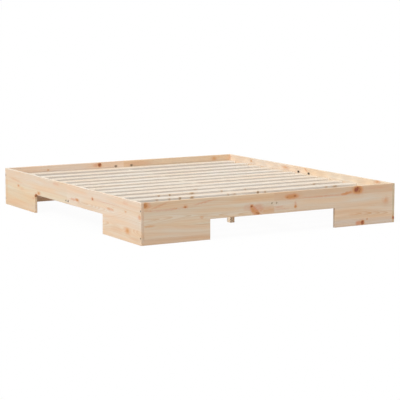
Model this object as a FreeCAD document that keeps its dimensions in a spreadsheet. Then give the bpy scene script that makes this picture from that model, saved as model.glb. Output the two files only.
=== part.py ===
"""Low slatted floor bed: eight half panels, slats on ledgers, and a centre beam on three legs.

The frame is +Z up with its origin on the floor under the middle of the bed. X runs along the slats,
Y along the long sides, and the front short side is at -Y. Lengths are millimetres.
"""
import FreeCAD
import Part
import os
import re
import Sketcher

# Driving sizes
SIZES = {
    # mattress that lies inside the panels, and the room round it on each side
    "mattress_length": 2000,
    "mattress_width": 1800,
    "mattress_gap": 9.5,
    # half panels: each reaches the floor over its foot and is cut away over the rest
    "panel_thickness": 18,
    "opening_height": 125,
    "side_foot_length": 512,
    "end_foot_length": 453,
    "panel_round": 2,
    # slats, set closer in the middle of the bed than towards its ends
    "slat_drop": 44,
    "slat_width": 74,
    "slat_thickness": 18,
    "slat_middle_pitch": 142.5,
    "slat_end_gap": 2,
    "slat_hanger_gap": 1.7,
    "slat_round": 3,
    # ledgers that carry the slat ends
    "ledger_height": 30,
    "ledger_thickness": 20,
    "ledger_end_gap": 2,
    "ledger_joint_gap": 1,
    "ledger_round": 2,
    # blocks behind the middle joints of the four sides
    "block_thickness": 16,
    "block_gap": 1,
    "block_round": 1.5,
    "splice_block_length": 130,
    "splice_block_height": 36,
    "splice_screw_margin": 17,
    "hanger_width": 90,
    "hanger_seat": 15,
    "hanger_drop": 4,
    "hanger_web": 3.5,
    "hanger_bolt_drop": 17,
    "hanger_screw_margin": 11,
    "hanger_screw_rise": 7,
    # centre beam, its splice plate and its legs
    "beam_thickness": 18,
    "beam_height": 50,
    "beam_end_gap": 1,
    "beam_joint_gap": 0.5,
    "beam_slot_clearance": 0.3,
    "plate_length": 240,
    "plate_thickness": 18,
    "plate_inset": 2,
    "leg_width": 33,
    "leg_depth": 42,
    "leg_spacing": 498,
    "leg_tongue_drop": 4,
    "leg_bolt_spread": 8,
    "leg_round": 2,
    # socket-head bolts and the threaded pieces that take them
    "bolt_diameter": 6,
    "bolt_clearance": 0.3,
    "bolt_head_diameter": 12,
    "bolt_head_height": 3,
    "bolt_sink": 3,
    "bolt_tip": 4,
    "socket_diameter": 4.6,
    "socket_depth": 2,
    "thread_clearance": 0.2,
    "insert_diameter": 8.5,
    "insert_cover": 3,
    "insert_clearance": 0.1,
    "nut_across_flats": 10,
    "nut_height": 5,
    # corner joints: bolts into barrel nuts, with dowels between them
    "corner_bolt_low": 42,
    "corner_bolt_drop": 50,
    "corner_nut_inset": 40,
    "barrel_nut_diameter": 10,
    "barrel_nut_cover": 2,
    "corner_dowel_seat": 12,
    "corner_dowel_reach": 28,
    # middle joints: a rod between two cams, with one dowel
    "cam_offset": 64,
    "cam_drop": 37,
    "cam_diameter": 14,
    "cam_floor": 4.5,
    "cam_sink": 2,
    "cam_slot_width": 7,
    "cam_slot_past": 3.5,
    "cam_cross_length": 8,
    "cam_cross_width": 1.6,
    "cam_cross_depth": 2,
    "cam_clearance": 0.2,
    "rod_diameter": 7,
    "rod_neck_diameter": 4.4,
    "rod_head_diameter": 6.4,
    "rod_head_back": 1,
    "rod_head_past": 2.5,
    "rod_shoulder_gap": 0.5,
    "rod_clearance": 0.2,
    "joint_dowel_reach": 20,
    "end_dowel_rise": 27,
    # wooden dowels
    "dowel_diameter": 8,
    "dowel_chamfer": 1,
    "dowel_clearance": 0.15,
    # countersunk wood screws
    "screw_diameter": 4,
    "screw_head_diameter": 8,
    "screw_point": 5,
    "screw_clearance": 0.2,
    "screw_bite": 10,
    "slat_screw_bite": 17,
    "slat_screw_spread": 20,
    "ledger_screw_rise": 7,
}

# Sizes and places that follow from the driving ones
DERIVED = {
    "bed_length": "mattress_length + 2 * mattress_gap + 2 * panel_thickness",
    "bed_width": "mattress_width + 2 * mattress_gap + 2 * panel_thickness",
    "side_panel_length": "bed_length / 2",
    "end_panel_length": "bed_width / 2 - panel_thickness",
    "inner_x": "bed_width / 2 - panel_thickness",
    "inner_y": "bed_length / 2 - panel_thickness",
    "splice_block_bottom": "opening_height + block_gap",
    "ledger_bottom": "splice_block_bottom + splice_block_height + block_gap",
    "slat_underside": "ledger_bottom + ledger_height",
    "slat_top": "slat_underside + slat_thickness",
    "panel_height": "slat_top + slat_drop",
    "slat_length": "2 * inner_x - 2 * slat_end_gap",
    "slat_last_centre": "inner_y - block_thickness - slat_hanger_gap - slat_width / 2",
    "ledger_x": "inner_x - ledger_thickness",
    "ledger_length": "inner_y - ledger_end_gap - ledger_joint_gap",
    "beam_bottom": "slat_underside - beam_height",
    "beam_length": "inner_y - beam_end_gap - beam_joint_gap",
    "beam_slot_width": "beam_thickness + 2 * beam_slot_clearance",
    "hanger_bottom": "beam_bottom - hanger_seat",
    "hanger_top": "slat_top - hanger_drop",
    "hanger_height": "hanger_top - hanger_bottom",
    "side_bolt_height": "splice_block_bottom + splice_block_height / 2",
    "end_bolt_height": "hanger_top - hanger_bolt_drop",
    "splice_bolt_offset": "beam_slot_width / 2 + hanger_web + insert_diameter / 2",
    "splice_screw_offset": "splice_block_length / 2 - splice_screw_margin",
    "hanger_screw_offset": "hanger_width / 2 - hanger_screw_margin",
    "hanger_screw_height": "beam_bottom + hanger_screw_rise",
    "insert_length": "block_thickness - insert_cover",
    "corner_bolt_high": "panel_height - corner_bolt_drop",
    "corner_y": "inner_y + panel_thickness / 2",
    "barrel_nut_length": "panel_thickness - 2 * barrel_nut_cover",
    "cam_height": "panel_height - cam_drop",
    "cam_hole_depth": "panel_thickness - cam_floor",
    "cam_length": "cam_hole_depth - cam_sink",
    "side_dowel_height": "slat_underside - ledger_height / 2",
    "end_dowel_height": "opening_height + end_dowel_rise",
    "ledger_screw_height": "ledger_bottom + ledger_screw_rise",
    "bolt_hole": "bolt_diameter + 2 * bolt_clearance",
    "bolt_head_hole": "bolt_head_diameter + 2 * bolt_clearance",
    "bolt_head_depth": "bolt_head_height + bolt_sink",
    "thread_hole": "bolt_diameter + 2 * thread_clearance",
    "screw_hole": "screw_diameter + 2 * screw_clearance",
    "screw_head_hole": "screw_head_diameter + 2 * screw_clearance",
    "screw_bite_hole": "screw_bite + screw_clearance",
    "dowel_hole": "dowel_diameter + 2 * dowel_clearance",
    "leg_tongue_thickness": "leg_width - beam_thickness",
    "leg_tongue_height": "beam_height - leg_tongue_drop",
    "leg_x": "-beam_thickness / 2",
}

SLATS_EACH_WAY = 6
CORNER_DOWEL_SHARES = (0.28, 0.72)
LEG_BOLT_SHARES = (0.3, 0.7)
PLATE_BOLT_SHARES = (0.42, 0.8)

X_AXIS = FreeCAD.Vector(1, 0, 0)
Y_AXIS = FreeCAD.Vector(0, 1, 0)
Z_AXIS = FreeCAD.Vector(0, 0, 1)
UNTURNED = FreeCAD.Rotation()
QUARTER = 90

doc = FreeCAD.newDocument("floor_bed")


def bound(text):
    """An expression with every named size given the sheet that holds it."""

    def sheet_name(match):
        name = match.group()
        if name in SIZES:
            return "Sizes." + name
        if name in DERIVED:
            return "Derived." + name
        return name

    return re.sub(r"[a-z_]+", sheet_name, text)


def fill_sheet(name, entries):
    """A sheet with one aliased cell for each entry."""
    sheet = doc.addObject("Spreadsheet::Sheet", name)
    for row, (alias, content) in enumerate(entries.items(), 1):
        sheet.set(f"A{row}", alias)
        sheet.set(f"B{row}", str(content))
        sheet.setAlias(f"B{row}", alias)
    doc.recompute()
    return sheet


sizes = fill_sheet("Sizes", SIZES)
places = {}
for derived_name, derived_text in DERIVED.items():
    places[derived_name] = "=" + bound(derived_text).replace("Derived.", "")
fill_sheet("Derived", places)


def value(text):
    """The present value of an expression, as a plain number."""
    return float(sizes.evalExpression(bound(text)))


def place(piece, x="0", y="0", z="0", rotation=UNTURNED):
    """Set a piece at a place that follows the named sizes."""
    piece.Placement = FreeCAD.Placement(FreeCAD.Vector(), rotation)
    for axis, text in (("x", x), ("y", y), ("z", z)):
        piece.setExpression(f"Placement.Base.{axis}", bound(text))


def new_body(label):
    """An empty body with its own name."""
    body = doc.addObject("PartDesign::Body", label)
    body.Label = label
    return body


def attach(feature, body, role, offset):
    """Lay a feature on one of the body's own planes, moved along the plane's normal."""
    planes = [plane for plane in body.Origin.OriginFeatures if plane.Role == role]
    feature.AttachmentSupport = [(planes[0], "")]
    feature.MapMode = "FlatFace"
    feature.setExpression("AttachmentOffset.Base.z", bound(offset))


def new_sketch(body, role, offset="0"):
    """A sketch on one of the body's own planes."""
    sketch = body.newObject("Sketcher::SketchObject", body.Label + "_sketch")
    attach(sketch, body, role, offset)
    return sketch


def hold(sketch, kind, items, text):
    """One dimension of a sketch, tied to an expression."""
    index = sketch.addConstraint(Sketcher.Constraint(kind, *items, value(text)))
    sketch.setExpression(f"Constraints[{index}]", bound(text))


def hold_point(sketch, geometry, end, x, y):
    """Fix a point of a sketch at named distances from the sketch's origin."""
    for kind, axis, text in (("DistanceX", -2, x), ("DistanceY", -1, y)):
        if text == "0":
            sketch.addConstraint(Sketcher.Constraint("PointOnObject", geometry, end, axis))
        elif value(text) < 0:
            hold(sketch, kind, (geometry, end, -1, 1), f"-({text})")
        else:
            hold(sketch, kind, (-1, 1, geometry, end), text)


def draw_outline(sketch, corners):
    """A closed outline of straight lines through corners given as pairs of expressions."""
    points = [FreeCAD.Vector(value(x), value(y), 0) for x, y in corners]
    count = len(corners)
    for index in range(count):
        sketch.addGeometry(Part.LineSegment(points[index], points[(index + 1) % count]), False)
    for index in range(count):
        sketch.addConstraint(Sketcher.Constraint("Coincident", index, 2, (index + 1) % count, 1))
    for index, (x, y) in enumerate(corners):
        hold_point(sketch, index, 1, x, y)


def draw_rectangle(sketch, width, height):
    """A rectangle with one corner at the sketch's origin."""
    draw_outline(sketch, [("0", "0"), (width, "0"), (width, height), ("0", height)])


def draw_centred(sketch, width, middle, height):
    """A rectangle centred across the sketch's upright axis, with its middle at a given height."""
    left = f"-{width} / 2"
    right = f"{width} / 2"
    low = f"{middle} - {height} / 2"
    high = f"{middle} + {height} / 2"
    draw_outline(sketch, [(left, low), (right, low), (right, high), (left, high)])


def draw_circles(sketch, diameter, centres):
    """Circles of one diameter at centres given as pairs of expressions."""
    for x, y in centres:
        centre = FreeCAD.Vector(value(x), value(y), 0)
        index = sketch.addGeometry(Part.Circle(centre, Z_AXIS, value(diameter) / 2), False)
        hold(sketch, "Diameter", (index,), diameter)
        hold_point(sketch, index, 3, x, y)


def pad(body, sketch, length, reversed_way=False):
    """Raise a sketch into a solid."""
    feature = body.newObject("PartDesign::Pad", body.Label + "_pad")
    feature.Profile = sketch
    feature.setExpression("Length", bound(length))
    feature.Reversed = reversed_way
    doc.recompute()
    return feature


def pocket(body, sketch, depth=None, reversed_way=False):
    """Cut a sketch into the body, to a depth or right through."""
    feature = body.newObject("PartDesign::Pocket", body.Label + "_pocket")
    feature.Profile = sketch
    feature.Reversed = reversed_way
    if depth is None:
        feature.Type = "ThroughAll"
    else:
        feature.setExpression("Length", bound(depth))
    doc.recompute()
    return feature


def drill(body, role, offset, diameter, centres, depth=None, reversed_way=False):
    """Round holes of one diameter from a plane of the body."""
    sketch = new_sketch(body, role, offset)
    draw_circles(sketch, diameter, centres)
    return pocket(body, sketch, depth, reversed_way)


def drill_for_heads(body, role, offset, centres, style, reversed_way=False):
    """Through holes with a counterbore for bolt heads or a countersink for screw heads."""
    hole_size, head_size = {
        "Counterbore": ("bolt_hole", "bolt_head_hole"),
        "Countersink": ("screw_hole", "screw_head_hole"),
    }[style]
    sketch = new_sketch(body, role, offset)
    draw_circles(sketch, hole_size, centres)
    doc.recompute()
    hole = body.newObject("PartDesign::Hole", body.Label + "_hole")
    hole.Profile = sketch
    hole.Reversed = reversed_way
    hole.DepthType = "ThroughAll"
    hole.HoleCutType = style
    hole.setExpression("Diameter", bound(hole_size))
    hole.setExpression("HoleCutDiameter", bound(head_size))
    if style == "Counterbore":
        hole.setExpression("HoleCutDepth", bound("bolt_head_depth"))
    else:
        hole.HoleCutCountersinkAngle = QUARTER
    doc.recompute()
    return hole


def ease_edges(body, feature, radius, wanted):
    """Round the feature's straight edges that the wanted test picks by their two ends."""
    names = []
    for index, edge in enumerate(feature.Shape.Edges, 1):
        start, end = [vertex.Point for vertex in edge.Vertexes]
        if wanted(start, end):
            names.append(f"Edge{index}")
    fillet = body.newObject("PartDesign::Fillet", body.Label + "_round")
    fillet.Base = (feature, names)
    fillet.setExpression("Radius", bound(radius))
    doc.recompute()
    return fillet


def both_at(start, end, axis, level):
    """Whether both ends of an edge lie at one level along an axis."""
    return all(abs(getattr(point, axis) - level) < Part.Precision.confusion() for point in (start, end))


def along(start, end, axis):
    """Whether an edge runs along an axis."""
    return abs(getattr((end - start).normalize(), axis)) > 1 - Part.Precision.confusion()


def mirrored(source, label, normal):
    """The other hand of a piece, across a plane through the middle of the bed."""
    copy = doc.addObject("Part::Mirroring", label)
    copy.Label = label
    copy.Source = source
    copy.Normal = normal
    return copy


def linked(source, x="0", y="0", z="0", rotation=UNTURNED):
    """One more of a repeated fastener, at its own place."""
    copy = doc.addObject("App::Link", source.Label + "_copy")
    copy.LinkedObject = source
    place(copy, x, y, z, rotation)
    return copy


def group(label, pieces):
    """Separate solids that share one name."""
    compound = doc.addObject("Part::Compound", label)
    compound.Label = label
    compound.Links = pieces
    return compound


def repeated(label, pieces, normals):
    """Pieces drawn on one side of the bed, and their other hands across each plane in turn."""
    sets = [group(label + "_set", pieces)]
    for normal in normals:
        sets += [mirrored(one, label + "_mirror", normal) for one in sets]
    return sets


def slat_centre(step):
    """Distance from the middle of the bed to a slat, counted in slats from the middle one."""
    count = SLATS_EACH_WAY
    growth = f"(slat_last_centre - {count} * slat_middle_pitch) / {count ** 3}"
    return f"{step} * slat_middle_pitch + {step ** 3} * {growth}"


def ledger_screw_centre(step):
    """Distance from the middle of the bed to a ledger screw, halfway between two slats."""
    return f"({slat_centre(step)} + {slat_centre(step + 1)}) / 2"


def corner_dowel_heights():
    """Heights of the corner dowels, between the two corner bolts."""
    span = "(corner_bolt_high - corner_bolt_low)"
    return [f"corner_bolt_low + {share} * {span}" for share in CORNER_DOWEL_SHARES]


CORNER_BOLT_HEIGHTS = ("corner_bolt_low", "corner_bolt_high")
CORNER_DOWEL_HEIGHTS = corner_dowel_heights()
LEDGER_SCREW_STEPS = range(SLATS_EACH_WAY)


# Half panels, drawn with the middle joint at x = 0, the outer face at y = 0 and the floor at z = 0
def half_panel(label, length, foot, splice_height, dowel_height, outer_end_round):
    """The board, its rounded edges and the holes of its middle joint."""
    body = new_body(label)
    sketch = new_sketch(body, "XZ_Plane")
    draw_outline(sketch, [
        ("0", "opening_height"),
        (f"{length} - {foot}", "opening_height"),
        (f"{length} - {foot}", "0"),
        (length, "0"),
        (length, "panel_height"),
        ("0", "panel_height"),
    ])
    board = pad(body, sketch, "panel_thickness", reversed_way=True)

    def shows(start, end):
        on_face = both_at(start, end, "y", 0) or both_at(start, end, "y", value("panel_thickness"))
        at_joint = both_at(start, end, "x", 0)
        at_outer_end = both_at(start, end, "x", value(length))
        return on_face and not at_joint and (outer_end_round or not at_outer_end)

    ease_edges(body, board, "panel_round", shows)
    bolt_places = [("splice_bolt_offset", splice_height)]
    drill_for_heads(body, "XZ_Plane", "0", bolt_places, "Counterbore")
    cam_places = [("cam_offset", "cam_height")]
    cam_hole = "cam_diameter + 2 * cam_clearance"
    drill(body, "XZ_Plane", "-panel_thickness", cam_hole, cam_places, "cam_hole_depth", True)
    middle = "panel_thickness / 2"
    rod_hole = "rod_diameter + 2 * rod_clearance"
    rod_depth = "cam_offset + rod_head_past + rod_clearance"
    drill(body, "YZ_Plane", "0", rod_hole, [(middle, "cam_height")], rod_depth, True)
    dowel_depth = "joint_dowel_reach + dowel_clearance"
    drill(body, "YZ_Plane", "0", "dowel_hole", [(middle, dowel_height)], dowel_depth, True)
    return body


def make_side_panel(label):
    """Half of a long side, which covers the end of a short side at the corner."""
    body = half_panel(
        label, "side_panel_length", "side_foot_length", "side_bolt_height", "side_dowel_height", True)
    corner = "side_panel_length - panel_thickness / 2"
    bolt_places = [(corner, height) for height in CORNER_BOLT_HEIGHTS]
    drill_for_heads(body, "XZ_Plane", "0", bolt_places, "Counterbore")
    dowel_places = [(corner, height) for height in CORNER_DOWEL_HEIGHTS]
    dowel_depth = "corner_dowel_seat + dowel_clearance"
    drill(body, "XZ_Plane", "-panel_thickness", "dowel_hole", dowel_places, dowel_depth, True)
    screw_places = [("splice_screw_offset", "side_bolt_height")]
    for step in LEDGER_SCREW_STEPS:
        screw_places.append((ledger_screw_centre(step), "ledger_screw_height"))
    drill(body, "XZ_Plane", "-panel_thickness", "screw_hole", screw_places, "screw_bite_hole", True)
    place(body, x="bed_width / 2", rotation=FreeCAD.Rotation(Z_AXIS, QUARTER))
    return body


def make_end_panel(label):
    """Half of a short side, bolted through its end grain between the long sides."""
    body = half_panel(
        label, "end_panel_length", "end_foot_length", "end_bolt_height", "end_dowel_height", False)
    middle = "panel_thickness / 2"
    nut_places = [("end_panel_length - corner_nut_inset", height) for height in CORNER_BOLT_HEIGHTS]
    nut_hole = "barrel_nut_diameter + 2 * bolt_clearance"
    nut_depth = "panel_thickness - barrel_nut_cover + bolt_clearance"
    drill(body, "XZ_Plane", "-panel_thickness", nut_hole, nut_places, nut_depth, True)
    bolt_places = [(middle, height) for height in CORNER_BOLT_HEIGHTS]
    bolt_depth = "corner_nut_inset + barrel_nut_diameter / 2 + bolt_tip + bolt_clearance"
    drill(body, "YZ_Plane", "end_panel_length", "bolt_hole", bolt_places, bolt_depth)
    dowel_places = [(middle, height) for height in CORNER_DOWEL_HEIGHTS]
    dowel_depth = "corner_dowel_reach + dowel_clearance"
    drill(body, "YZ_Plane", "end_panel_length", "dowel_hole", dowel_places, dowel_depth)
    screw_places = [("hanger_screw_offset", "hanger_screw_height")]
    drill(body, "XZ_Plane", "-panel_thickness", "screw_hole", screw_places, "screw_bite_hole", True)
    place(body, y="-bed_length / 2")
    return body


# Slats
def make_slat(label, step):
    """One slat with rounded top edges and two countersunk screws at each end."""
    body = new_body(label)
    sketch = new_sketch(body, "XY_Plane")
    draw_rectangle(sketch, "slat_length", "slat_width")
    board = pad(body, sketch, "slat_thickness")

    def top_long_edge(start, end):
        return both_at(start, end, "z", value("slat_thickness")) and along(start, end, "x")

    ease_edges(body, board, "slat_round", top_long_edge)
    inset = "(ledger_thickness / 2 - slat_end_gap)"
    screw_places = []
    for x in (inset, f"slat_length - {inset}"):
        for y in ("slat_width / 2 - slat_screw_spread", "slat_width / 2 + slat_screw_spread"):
            screw_places.append((x, y))
    drill_for_heads(body, "XY_Plane", "slat_thickness", screw_places, "Countersink")
    place(body, "-slat_length / 2", f"{slat_centre(step)} - slat_width / 2", "slat_underside")
    return body


# Ledgers
def make_ledger(label):
    """Strip along half of a long side, drilled for its own screws and for the slats' screws."""
    body = new_body(label)
    sketch = new_sketch(body, "XY_Plane")
    draw_rectangle(sketch, "ledger_thickness", "ledger_length")
    strip = pad(body, sketch, "ledger_height")

    def inner_long_edge(start, end):
        return both_at(start, end, "x", 0) and along(start, end, "y")

    ease_edges(body, strip, "ledger_round", inner_long_edge)
    own_places = []
    for step in LEDGER_SCREW_STEPS:
        own_places.append((f"{ledger_screw_centre(step)} - ledger_joint_gap", "ledger_screw_rise"))
    drill_for_heads(body, "YZ_Plane", "0", own_places, "Countersink", reversed_way=True)
    slat_places = []
    for y in rear_slat_screw_centres():
        slat_places.append(("ledger_thickness / 2", f"{y} - ledger_joint_gap"))
    bite = "slat_screw_bite + screw_clearance"
    drill(body, "XY_Plane", "ledger_height", "screw_hole", slat_places, bite)
    place(body, "ledger_x", "ledger_joint_gap", "ledger_bottom")
    return body


def rear_slat_screw_centres():
    """Distances from the middle of the bed to the slat screws on its rear half."""
    centres = ["slat_screw_spread"]
    for step in range(1, SLATS_EACH_WAY + 1):
        centres.append(f"{slat_centre(step)} - slat_screw_spread")
        centres.append(f"{slat_centre(step)} + slat_screw_spread")
    return centres


# Blocks behind the middle joints, drawn with the panel's inner face at y = 0
def drill_block(body, half_width, bolt_height, screw_offset, screw_height):
    """Seats for the two threaded inserts, and holes for the two screws driven from inside."""
    bolts = []
    screws = []
    for side in ("-", "+"):
        bolts.append((f"{half_width} {side} splice_bolt_offset", bolt_height))
        screws.append((f"{half_width} {side} {screw_offset}", screw_height))
    seat = "insert_diameter + 2 * insert_clearance"
    drill(body, "XZ_Plane", "0", seat, bolts, "insert_length + insert_clearance")
    drill_for_heads(body, "XZ_Plane", "-block_thickness", screws, "Countersink", reversed_way=True)


def make_splice_block(label):
    """Plain block under the ledger that ties the two halves of a long side together."""
    body = new_body(label)
    sketch = new_sketch(body, "XZ_Plane")
    draw_rectangle(sketch, "splice_block_length", "splice_block_height")
    block = pad(body, sketch, "block_thickness", reversed_way=True)

    def inner_edge(start, end):
        return both_at(start, end, "y", value("block_thickness"))

    ease_edges(body, block, "block_round", inner_edge)
    half = "splice_block_length / 2"
    height = "splice_block_height / 2"
    drill_block(body, half, height, "splice_screw_offset", height)
    turn = FreeCAD.Rotation(Z_AXIS, QUARTER)
    place(body, "inner_x", "-splice_block_length / 2", "splice_block_bottom", turn)
    return body


def make_hanger(label):
    """Block with a slot from above, in which the end of the centre beam sits."""
    body = new_body(label)
    sketch = new_sketch(body, "XZ_Plane")
    slot_left = "(hanger_width - beam_slot_width) / 2"
    slot_right = "(hanger_width + beam_slot_width) / 2"
    draw_outline(sketch, [
        ("0", "0"),
        ("hanger_width", "0"),
        ("hanger_width", "hanger_height"),
        (slot_right, "hanger_height"),
        (slot_right, "hanger_seat"),
        (slot_left, "hanger_seat"),
        (slot_left, "hanger_height"),
        ("0", "hanger_height"),
    ])
    block = pad(body, sketch, "block_thickness", reversed_way=True)

    def outer_upright(start, end):
        at_side = both_at(start, end, "x", 0) or both_at(start, end, "x", value("hanger_width"))
        return at_side and both_at(start, end, "y", value("block_thickness"))

    ease_edges(body, block, "block_round", outer_upright)
    half = "hanger_width / 2"
    bolt_height = "end_bolt_height - hanger_bottom"
    drill_block(body, half, bolt_height, "hanger_screw_offset", "hanger_screw_height - hanger_bottom")
    place(body, "-hanger_width / 2", "-inner_y", "hanger_bottom")
    return body


# Centre beam, plate and legs
def leg_bolt_places(centre):
    """Place along the bed and height of the two bolts of a leg, set on a diagonal."""
    low, high = [f"beam_bottom + {share} * leg_tongue_height" for share in LEG_BOLT_SHARES]
    return [(f"{centre} - leg_bolt_spread", low), (f"{centre} + leg_bolt_spread", high)]


def plate_bolt_places():
    """Place along the bed and height of the splice plate's bolts on the rear beam."""
    middle = "beam_bottom + beam_height / 2"
    return [(f"{share} * plate_length / 2", middle) for share in PLATE_BOLT_SHARES]


def drill_across(body, places, start, bottom):
    """Bolt holes along X through a piece that starts at a place along the bed and a height."""
    centres = [(f"{y} - ({start})", f"{z} - {bottom}") for y, z in places]
    drill(body, "YZ_Plane", "0", "bolt_hole", centres, reversed_way=True)


def make_beam(label, rear):
    """Half of the centre beam, a plank on edge. The halves differ only in the middle leg's bolt."""
    body = new_body(label)
    sketch = new_sketch(body, "XY_Plane")
    draw_rectangle(sketch, "beam_thickness", "beam_length")
    pad(body, sketch, "beam_height")
    bolts = leg_bolt_places("leg_spacing") + plate_bolt_places()
    low_bolt, high_bolt = leg_bolt_places("0")
    if rear:
        start = "beam_joint_gap"
        bolts.append(high_bolt)
    else:
        start = "(-beam_joint_gap - beam_length)"
        bolts = [(f"-({y})", z) for y, z in bolts]
        bolts.append(low_bolt)
    drill_across(body, bolts, start, "beam_bottom")
    place(body, "-beam_thickness / 2", start, "beam_bottom")
    return body


def make_plate(label):
    """Splice plate beside the joint of the two beam halves."""
    body = new_body(label)
    sketch = new_sketch(body, "XY_Plane")
    draw_rectangle(sketch, "plate_thickness", "plate_length")
    plate_bottom = "(beam_bottom + plate_inset)"
    block = pad(body, sketch, "beam_height - 2 * plate_inset")

    def outer_edge(start, end):
        return both_at(start, end, "x", 0)

    ease_edges(body, block, "block_round", outer_edge)
    bolts = leg_bolt_places("0")
    for y, z in plate_bolt_places():
        bolts += [(y, z), (f"-({y})", z)]
    drill_across(body, bolts, "-plate_length / 2", plate_bottom)
    place(body, "-beam_thickness / 2 - plate_thickness", "-plate_length / 2", plate_bottom)
    return body


def make_leg(label, centre):
    """Leg whose top is cut back to a tongue, so that the beam sits on its shoulder."""
    body = new_body(label)
    sketch = new_sketch(body, "XZ_Plane")
    draw_outline(sketch, [
        ("0", "0"),
        ("leg_width", "0"),
        ("leg_width", "beam_bottom + leg_tongue_height"),
        ("beam_thickness", "beam_bottom + leg_tongue_height"),
        ("beam_thickness", "beam_bottom"),
        ("0", "beam_bottom"),
    ])
    post = pad(body, sketch, "leg_depth", reversed_way=True)

    def outer_upright(start, end):
        at_side = both_at(start, end, "x", 0) or both_at(start, end, "x", value("leg_width"))
        return at_side and along(start, end, "z")

    ease_edges(body, post, "leg_round", outer_upright)
    drill_across(body, leg_bolt_places(centre), f"{centre} - leg_depth / 2", "0")
    place(body, "leg_x", f"{centre} - leg_depth / 2")
    return body


# Fasteners, each drawn once along Z and then repeated
def turned(label, profile):
    """A round piece from half of its section, given as pairs of radius and height."""
    body = new_body(label)
    sketch = new_sketch(body, "XZ_Plane")
    draw_outline(sketch, profile)
    turn = body.newObject("PartDesign::Revolution", label + "_turn")
    turn.Profile = sketch
    turn.ReferenceAxis = (sketch, ["V_Axis"])
    turn.Angle = 4 * QUARTER
    doc.recompute()
    return body


def make_bolt(label, length):
    """Socket-head bolt with its tip at z = 0 and its head on top of the given shank length."""
    shank = "bolt_diameter / 2"
    head = "bolt_head_diameter / 2"
    full = f"{length} + bolt_head_height"
    body = turned(label, [
        ("0", "0"), (shank, "0"), (shank, length), (head, length), (head, full), ("0", full)])
    socket = body.newObject("PartDesign::SubtractivePrism", label + "_socket")
    attach(socket, body, "XY_Plane", f"{full} - socket_depth")
    socket.Polygon = 6
    socket.setExpression("Circumradius", bound("socket_diameter / 2"))
    socket.setExpression("Height", bound("socket_depth"))
    doc.recompute()
    return body


def make_screw(label, length):
    """Countersunk wood screw with its point at z = 0 and its head flush at the given length."""
    shank = "screw_diameter / 2"
    head = "screw_head_diameter / 2"
    return turned(label, [
        ("0", "0"),
        (shank, "screw_point"),
        (shank, f"{length} - ({head} - {shank})"),
        (head, length),
        ("0", length),
    ])


def make_dowel(label, length):
    """Wooden dowel with chamfered ends."""
    radius = "dowel_diameter / 2"
    tip = f"{radius} - dowel_chamfer"
    return turned(label, [
        ("0", "0"),
        (tip, "0"),
        (radius, "dowel_chamfer"),
        (radius, f"{length} - dowel_chamfer"),
        (tip, length),
        ("0", length),
    ])


def make_rod(label):
    """Double-ended rod with a necked head at each end for the cams, centred on its length."""
    shank = "rod_diameter / 2"
    neck = "rod_neck_diameter / 2"
    head = "rod_head_diameter / 2"
    end = "cam_offset + rod_head_past"
    head_start = "rod_head_past + rod_head_back"
    shoulder = "rod_head_past + cam_diameter / 2 + rod_shoulder_gap"
    full = f"2 * ({end})"
    return turned(label, [
        ("0", "0"),
        (head, "0"),
        (head, head_start),
        (neck, head_start),
        (neck, shoulder),
        (shank, shoulder),
        (shank, f"{full} - ({shoulder})"),
        (neck, f"{full} - ({shoulder})"),
        (neck, f"{full} - ({head_start})"),
        (head, f"{full} - ({head_start})"),
        (head, full),
        ("0", full),
    ])


def make_cam(label):
    """Round cam with a slot for the rod's head towards -Y and a cross recess in its face."""
    body = turned(label, [
        ("0", "0"), ("cam_diameter / 2", "0"), ("cam_diameter / 2", "cam_length"), ("0", "cam_length")])
    axis_height = "cam_length - (panel_thickness / 2 - cam_sink)"
    slot = new_sketch(body, "XZ_Plane", "-cam_slot_past")
    draw_centred(slot, "cam_slot_width", axis_height, "cam_slot_width")
    pocket(body, slot, "cam_slot_past + cam_diameter", True)
    for width, height in (("cam_cross_length", "cam_cross_width"), ("cam_cross_width", "cam_cross_length")):
        recess = new_sketch(body, "XY_Plane", "cam_length")
        draw_centred(recess, width, "0", height)
        pocket(body, recess, "cam_cross_depth")
    return body


def make_barrel_nut(label):
    """Cross dowel of steel: a plain round bar with a threaded hole across its middle."""
    bar = doc.addObject("Part::Cylinder", label + "_bar")
    bar.setExpression("Radius", bound("barrel_nut_diameter / 2"))
    bar.setExpression("Height", bound("barrel_nut_length"))
    hole = doc.addObject("Part::Cylinder", label + "_hole")
    hole.setExpression("Radius", bound("thread_hole / 2"))
    hole.setExpression("Height", bound("2 * barrel_nut_diameter"))
    turn = FreeCAD.Rotation(Y_AXIS, QUARTER)
    place(hole, x="-barrel_nut_diameter", z="barrel_nut_length / 2", rotation=turn)
    nut = doc.addObject("Part::Cut", label)
    nut.Base = bar
    nut.Tool = hole
    nut.Label = label
    return nut


def make_hex_nut(label):
    """Hexagon nut standing on z = 0."""
    prism = doc.addObject("Part::Prism", label + "_prism")
    prism.Polygon = 6
    prism.setExpression("Circumradius", bound("nut_across_flats / (2 * cos(30))"))
    prism.setExpression("Height", bound("nut_height"))
    hole = doc.addObject("Part::Cylinder", label + "_hole")
    hole.setExpression("Radius", bound("thread_hole / 2"))
    hole.setExpression("Height", bound("nut_height"))
    nut = doc.addObject("Part::Cut", label)
    nut.Base = prism
    nut.Tool = hole
    nut.Label = label
    return nut


def make_insert(label):
    """Threaded sleeve that a splice bolt screws into."""
    inner = "thread_hole / 2"
    outer = "insert_diameter / 2"
    return turned(label, [
        (inner, "0"), (outer, "0"), (outer, "insert_length"), (inner, "insert_length")])


# Directions in which the fasteners' heads point
HEAD_RIGHT = FreeCAD.Rotation(Y_AXIS, QUARTER)
HEAD_LEFT = FreeCAD.Rotation(Y_AXIS, -QUARTER)
HEAD_REAR = FreeCAD.Rotation(X_AXIS, -QUARTER)
HEAD_FRONT = FreeCAD.Rotation(X_AXIS, QUARTER)


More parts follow.
